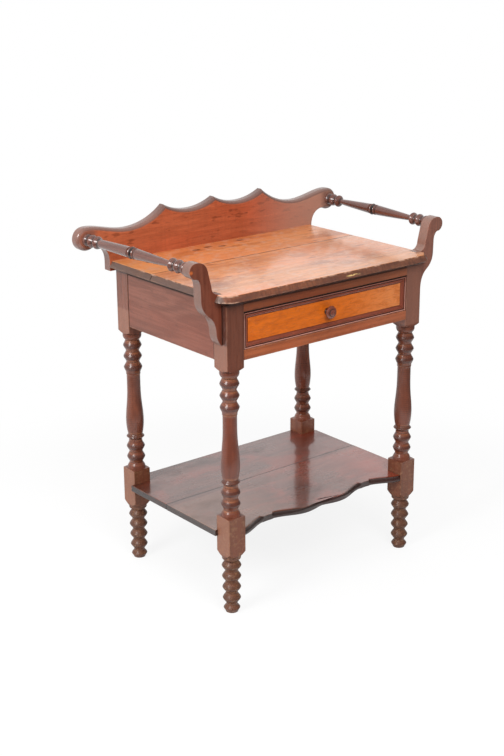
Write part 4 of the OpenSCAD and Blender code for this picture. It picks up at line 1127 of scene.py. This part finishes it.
class WASHSTAND_OT_shelf(bpy.types.Operator):
    """Two boards of the shelf, the front one with its shaped edge"""
    bl_idname = "washstand.shelf"
    bl_label = "Shelf"

    # How far the front edge's deepest points lie behind its corners
    recess = 0.0295

    def front_board(self, sizes):
        low, high = SHELF_FRONT + self.recess, SHELF_FRONT + 0.006
        middle, crown, pit = high + 0.007, 0.21 * INNER_SIDE, 0.63 * INNER_SIDE
        end = (INNER_SIDE + HOUSING, SHELF_FRONT)
        notch = LEG_FRONT + sizes.stock - HOUSING
        half = bend((0, middle), (0.010, 0), (-0.024, 0), (crown, high), 16)[:-1]
        half += bend((crown, high), (0.038, 0), (-0.044, 0), (pit, low), 20)[:-1]
        half += bend((pit, low), (0.034, 0), (-0.030, 0.002), end, 18)
        half += [(end[0], notch), (SHELF_SIDE, notch), (SHELF_SIDE, SHELF_SEAM)]
        outline = half + [(-x, y) for x, y in reversed(half[1:])]
        piece = sawn_board("shelf_front_board", [(x, y, SHELF_LOW) for x, y in outline],
                           (0, 0, SHELF_HIGH - SHELF_LOW))

        def share(a, b):
            middle = (a + b) / 2
            if abs(a.z - b.z) > 0.001 or middle.y > notch - 0.01 or abs(middle.x) > end[0] - 0.0001:
                return 0
            full = 1 - 0.6 * math.exp(-((abs(middle.x) - crown) / 0.028) ** 2)
            return full if middle.z > SHELF_LOW + 0.001 else 0.3 * full

        weighted_bevel(piece, sizes.shelf_round, share, 5)
        eased(piece, 0.0007, 60, 1)
        smoothed(piece, 35)
        return piece

    def execute(self, context):
        sizes, colours = settings()
        boards = {"shelf_board_front": self.front_board(sizes),
                  "shelf_board_rear": planed("shelf_board_rear", sizes.arris)}
        for number, (node, piece) in enumerate(boards.items()):
            finish = wood("shelf_wood_" + node[12:], colours.shelf, "x", SEEDS["shelf"] + number,
                          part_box(node), gloss=0.26, streak=0.6, coat_rough=0.1, wear=0.15,
                          extra=self.worn_polish)
            fitted(piece, finish, "shelf_wood", node)
        return {"FINISHED"}

    def worn_polish(self, f, colour, rough, height):
        """Patchy polish over red and dark patches, a painted sheen at the front left, a dark joint, and painted
        shade on the front edge's lower part and underside
        """
        red = f.patches((7, 13, 10), 0.48, 0.64, 5, 0.62, 0.3, (3, 1, 2))
        dark = f.patches((5, 9, 10), 0.5, 0.66, 5, 0.65, 0.0, (1, 5, 2))
        joint = bands(f.y, [SHELF_SEAM], 0.0019)
        # painted shade on the lower part of the front edge and the underside
        under = f.z.fade(SHELF_HIGH - 0.0016, SHELF_HIGH - 0.0004)
        front = f.y.fade(SHELF_SEAM - 0.03, SHELF_SEAM)
        left, right = 1 - f.x.step(-0.2, 0.0), f.x.step(0.05, 0.3)
        f.coat = (0.95 - dark * 0.35) * (1 - under * 0.6)
        # the front left is lightened as a painted sheen; the black layer holds the dark joint and the painted
        # shade below the edge
        colour = f.coats(colour, red=(red * 0.6, (0.25, 0.035, 0.014)),
                         brown=((dark * 0.5).higher(left * 0.08), (0.045, 0.018, 0.014)),
                         redder=(right * (front * 0.3 + 0.15), (0.48, 0.06, 0.02)),
                         hazy=(left * front * 0.28, (0.3, 0.18, 0.12)),
                         black=(joint.higher(under * 0.9), (0.012, 0.006, 0.005)))
        return colour, rough, height


class WASHSTAND_OT_drawer(bpy.types.Operator):
    """Drawer front with its panel, mouldings and knob"""
    bl_idname = "washstand.drawer"
    bl_label = "Drawer"

    def execute(self, context):
        sizes, colours = settings()
        finish = wood("front_wood_board", colours.front, "x", SEEDS["front"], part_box("drawer_front"))
        fitted(planed("drawer_front", 0.0005), finish, "front_wood", "drawer_front")
        finish = wood("panel_wood_board", colours.panel, "x", SEEDS["panel"], gloss=0.34, stain=0.05,
                      streak=0.14, speck=0.1, specular=0.3, extra=self.mottled)
        fitted(planed("drawer_panel", 0.0004), finish, "panel_wood", "drawer_panel")
        ways = {"top": ((1, 0, 0), (0, 0, -1)), "bottom": ((1, 0, 0), (0, 0, 1)),
                "left": ((0, 0, 1), (1, 0, 0)), "right": ((0, 0, 1), (-1, 0, 0))}
        for number, (place, (along, inwards)) in enumerate(ways.items()):
            reach, half = (DRAWER_HALF, DRAWER_SIDE) if along[0] else (DRAWER_SIDE, DRAWER_HALF)
            piece = self.moulding("drawer_moulding_" + place + "_run", sizes, Vector(along), Vector(inwards),
                                  reach, half)
            finish = wood("moulding_wood_" + place, colours.moulding, "x" if along[0] else "z",
                          SEEDS["moulding"] + number, gloss=0.26, streak=0.15, stain=0.2, specular=0.3,
                          coat=0.4, extra=self.moulded_lines)
            fitted(piece, finish, "moulding_wood", "drawer_moulding_" + place)
        finish = wood("knob_wood_turned", colours.knob, "y", SEEDS["knob"], gloss=0.24, coat=0.6,
                      coat_rough=0.08, extra=self.turned_rings)
        fitted(self.knob(sizes), finish, "knob_wood", "drawer_knob")
        return {"FINISHED"}

    def turned_rings(self, f, colour, rough, height):
        """Darker round the knob's button and at its foot"""
        up = f.z - DRAWER_MIDDLE
        away = (f.x * f.x + up * up).root()
        face = f.y.fade(PANEL_FACE - 0.0168, PANEL_FACE - 0.016)
        ring = away.step(0.0066, 0.0074) * away.fade(0.0082, 0.0092) * face
        foot = f.y.step(PANEL_FACE - 0.008, PANEL_FACE - 0.003)
        return f.blend(ring.higher(foot) * 0.8, colour, (0.02, 0.008, 0.006)), rough, height

    def moulded_lines(self, f, colour, rough, height):
        """Dark quirk and edges of the mouldings, and a painted highlight on their outer bead, strongest low
        down
        """
        edge = (DRAWER_HALF - (f.z - DRAWER_MIDDLE).size()).lower(DRAWER_SIDE - f.x.size())
        quirk = bands(edge, [0.0, 0.0042, 0.0135], 0.0013)
        # painted highlight on the outer bead, weaker on the top moulding
        lit = (f.z - DRAWER_MIDDLE).step(0.02, 0.03) * -0.7 + 1
        bead = bands(edge, [0.0018], 0.0016) * lit
        colour = f.coats(colour, rubbed=(bead * 0.8, (0.6, 0.3, 0.24)),
                         dirty=(quirk * 0.85, (0.03, 0.01, 0.007)))
        return colour, rough, height - quirk * 0.3

    def mottled(self, f, colour, rough, height):
        """Fine curl and dashes over the panel, with a painted sheen at its right"""
        curl = f.patches((38, 50, 90), 0.46, 0.64, 4, 0.65, 0.8)
        dashes = f.patches((30, 50, 300), 0.52, 0.68, 3, 0.6, 0.5)
        # the right part is lightened as a painted sheen
        colour = f.coats(colour, hazy=(f.x.step(0.02, 0.24) * 0.46, (0.8, 0.37, 0.16)),
                         curl=(curl * 0.5, (0.5, 0.1, 0.008)), dashes=(dashes * 0.4, (0.4, 0.075, 0.008)))
        return colour, rough, height

    def moulding(self, name, sizes, along, inwards, reach, half):
        """A length of moulding with mitred ends; its outer edge lies reach from the panel's middle"""
        width, rise = sizes.moulding, sizes.moulding_rise
        section = [(0, 0), (width, 0), *arc((width, rise), 0.76 * rise, 270, 190, 12)]
        section += [(0.36 * width, 0.86 * rise), (0.34 * width, 0.6 * rise), (0.26 * width, 0.6 * rise)]
        section += arc((0.13 * width, rise - 0.13 * width), 0.13 * width, 0, 180, 12)
        edge = Vector((0, DRAWER_FACE, DRAWER_MIDDLE)) - inwards * reach
        out = Vector((0, -1, 0))
        piece = sawn_board(name, [edge - along * half + inwards * u + out * v for u, v in section],
                           along * 2 * half)
        for way in (1, -1):
            sawn_off(piece, edge + along * way * half, along * way + inwards)
        smoothed(piece, 40)
        return piece

    def knob(self, sizes):
        """Turned knob with a raised button and its tenon through the drawer front"""
        shares = [(0.46, 0.14), (0.5, 0.28), (0.78, 0.44), (0.96, 0.54), (1, 0.62), (0.96, 0.72), (0.84, 0.8),
                  (0.64, 0.845)]
        button = [(0.53, 0.9), (0.47, 0.945), (0.34, 0.975), (0.17, 0.995), (0, 1)]
        deep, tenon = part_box("drawer_front")[1].y - PANEL_FACE, 0.005
        outline = [(0.55, 0), (0.55, 0.05), *through(shares, 4), (0.54, 0.85), *through(button, 3)]
        points = [(0, -deep), (tenon, -deep), (tenon, 0)]
        points += [(r * sizes.knob, h * sizes.knob_reach) for r, h in outline]
        piece = turned("drawer_knob_turned", points, (0, PANEL_FACE, DRAWER_MIDDLE), (0, -1, 0), (1, 0, 0),
                       sizes.steps)
        smoothed(piece, 40)
        return piece


class WASHSTAND_OT_inside(bpy.types.Operator):
    """Finishes of the drawer's box, the runners and blocks, and the screws and nails"""
    bl_idname = "washstand.inside"
    bl_label = "Inside pieces"

    def execute(self, context):
        colours = settings()[1]
        across = ("drawer_back", "drawer_bottom", "drawer_stops")
        for number, (node, plain) in enumerate(frame["nodes"].items()):
            slot = plain.data.materials[0].name
            if slot == "inside_wood":
                finish = wood("inside_wood_" + node, colours.inside, "x" if node in across else "y",
                              SEEDS["inside"] + number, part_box(node), gloss=0.65, specular=0.3,
                              bare=(0.6, 0.45, 0.3))
                plain.data.materials[0] = finish
            elif slot == "screw_steel":
                plain.data.materials[0] = self.old_steel(node, colours.steel)
        return {"FINISHED"}

    def old_steel(self, node, base):
        f = Finish("screw_steel_" + node)
        scale = f.noise(f.stretched((700, 700, 700)), 1, 4, 0.6)
        rust = f.patches((160, 160, 160), 0.45, 0.6, 3, 0.6)
        colour = f.blend(scale, tuple(base), tuple(c * 0.6 for c in base))
        colour = f.blend(rust * 0.5, colour, (0.16, 0.07, 0.035))
        return f.surface(colour, scale * 0.2 + rust * 0.3 + 0.3, scale, 0.0002, 0.5, metal=1 - rust * 0.7)


class WASHSTAND_OT_stage(bpy.types.Operator):
    """Pale floor, soft light and the camera"""
    bl_idname = "washstand.stage"
    bl_label = "Stage"

    camera_place = (-1.89313, -2.28239, 1.42792)
    yaw, pitch, roll = 0.6785521, 0.3240132, -0.0063345
    floor_radius = 1.25

    def execute(self, context):
        stage = context.scene.washstand_stage
        clear_bench()
        bpy.ops.mesh.primitive_circle_add(vertices=96, radius=self.floor_radius, fill_type="NGON")
        floor = bpy.context.object
        floor.name = "floor"
        open_edit(floor, True)
        bpy.ops.mesh.inset(thickness=self.floor_radius / 2)
        close_edit()
        floor.data.materials.append(self.floor_finish(stage))
        self.world(stage)
        self.lamp("key light", (-2.3, -0.35, 2.0), (0, 0, 0.4), 0.9, stage.key_power)
        fill = self.lamp("fill light", (-0.9, -2.3, 2.6), (0, 0, 0.5), 1.6, stage.fill_power)
        fill.visible_glossy = False
        self.camera(context, stage)
        context.scene.view_settings.view_transform = "Standard"
        return {"FINISHED"}

    def rays(self, f):
        """Camera rays, and the mirrored or passed rays that show the backdrop too"""
        path = f.tree.nodes.new("ShaderNodeLightPath")
        camera, glossy, passed = (Value(f, path.outputs["Is " + kind + " Ray"])
                                  for kind in ("Camera", "Glossy", "Transmission"))
        return camera, glossy.higher(passed)

    def floor_finish(self, stage):
        f = Finish("floor_paper")
        mottle = f.noise(f.stretched((3, 3, 3)), 1, 3)
        colour = f.blend(mottle * 0.06, stage.floor, times(stage.floor, 0.9))
        paper = f.node("ShaderNodeBsdfDiffuse", None, {"Color": colour})
        white = f.node("ShaderNodeEmission", None, {"Color": (1, 1, 1, 1), "Strength": 1.0})
        camera, mirrored = self.rays(f)
        away = (f.x * f.x + f.y * f.y).root().step(self.floor_radius * 0.55, self.floor_radius * 0.98)
        back = (f.y * 0.95 - f.x * 0.3).step(-0.3, 0.5)
        share = camera * (away * 0.15 + 0.85) + mirrored * back * 0.3
        mixed = f.node("ShaderNodeMixShader", None, {0: share, 1: paper, 2: white})
        f.node("ShaderNodeOutputMaterial", None, {"Surface": mixed})
        return f.material

    def world(self, stage):
        world = bpy.data.worlds.new("studio")
        bpy.context.scene.world = world
        f = Finish("studio", world, "Generated")
        back = (f.y * 0.95 - f.x * 0.3 + f.z * 0.8).step(-0.3, 0.5)
        camera, mirrored = self.rays(f)
        room = f.node("ShaderNodeBackground", None, {
            "Color": (1, 1, 1, 1), "Strength": back * stage.backdrop + stage.room})
        white = f.node("ShaderNodeBackground", None, {"Color": (1, 1, 1, 1), "Strength": 1.0})
        mixed = f.node("ShaderNodeMixShader", None, {0: camera + mirrored * back, 1: room, 2: white})
        f.node("ShaderNodeOutputWorld", None, {"Surface": mixed})

    def lamp(self, name, place, target, size, power):
        clear_bench()
        bpy.ops.object.light_add(type="AREA", location=place)
        lamp = bpy.context.object
        lamp.name = name
        lamp.data.shape = "SQUARE"
        lamp.data.size = size
        lamp.data.energy = power
        lamp.rotation_euler = (Vector(target) - Vector(place)).to_track_quat("-Z", "Y").to_euler()
        return lamp

    def camera(self, context, stage):
        clear_bench()
        bpy.ops.object.camera_add(location=self.camera_place)
        camera = bpy.context.object
        camera.name = "photo camera"
        ahead = Vector((math.sin(self.yaw) * math.cos(self.pitch), math.cos(self.yaw) * math.cos(self.pitch),
                        -math.sin(self.pitch)))
        level = Vector((math.cos(self.yaw), -math.sin(self.yaw), 0))
        up = level.cross(ahead)
        right = level * math.cos(self.roll) + up * math.sin(self.roll)
        above = up * math.cos(self.roll) - level * math.sin(self.roll)
        camera.matrix_world = Matrix.LocRotScale(
            Vector(self.camera_place), Matrix((right, above, -ahead)).transposed(), None)
        camera.data.sensor_fit = "VERTICAL"
        camera.data.sensor_height = 36
        camera.data.lens = stage.lens
        context.scene.camera = camera


STEPS = ("legs", "case", "top", "splashback", "towel_rails", "shelf", "drawer", "inside", "stage")


class WASHSTAND_PT_panel(bpy.types.Panel):
    """Lists the washstand's pieces and settings"""
    bl_label = "Washstand"
    bl_space_type = "VIEW_3D"
    bl_region_type = "UI"
    bl_category = "Washstand"

    def draw(self, context):
        layout = self.layout
        for step in STEPS:
            layout.operator("washstand." + step)
        for group in ("washstand_sizes", "washstand_colours", "washstand_stage"):
            box = layout.box()
            values = getattr(context.scene, group)
            for key in values.__annotations__:
                box.prop(values, key)


GROUPS = {"washstand_sizes": WashstandSizes, "washstand_colours": WashstandColours,
          "washstand_stage": WashstandStage}
CLASSES = (WashstandSizes, WashstandColours, WashstandStage, WASHSTAND_OT_legs, WASHSTAND_OT_case,
           WASHSTAND_OT_top, WASHSTAND_OT_splashback, WASHSTAND_OT_towel_rails, WASHSTAND_OT_shelf,
           WASHSTAND_OT_drawer, WASHSTAND_OT_inside, WASHSTAND_OT_stage, WASHSTAND_PT_panel)


def register():
    for cls in CLASSES:
        bpy.utils.register_class(cls)
    for name, group in GROUPS.items():
        setattr(bpy.types.Scene, name, PointerProperty(type=group))


def unregister():
    for name in GROUPS:
        delattr(bpy.types.Scene, name)
    for cls in reversed(CLASSES):
        bpy.utils.unregister_class(cls)


def main():
    register()
    for step in STEPS:
        getattr(bpy.ops.washstand, step)()
    clear_bench()


if __name__ == "__main__":
    main()
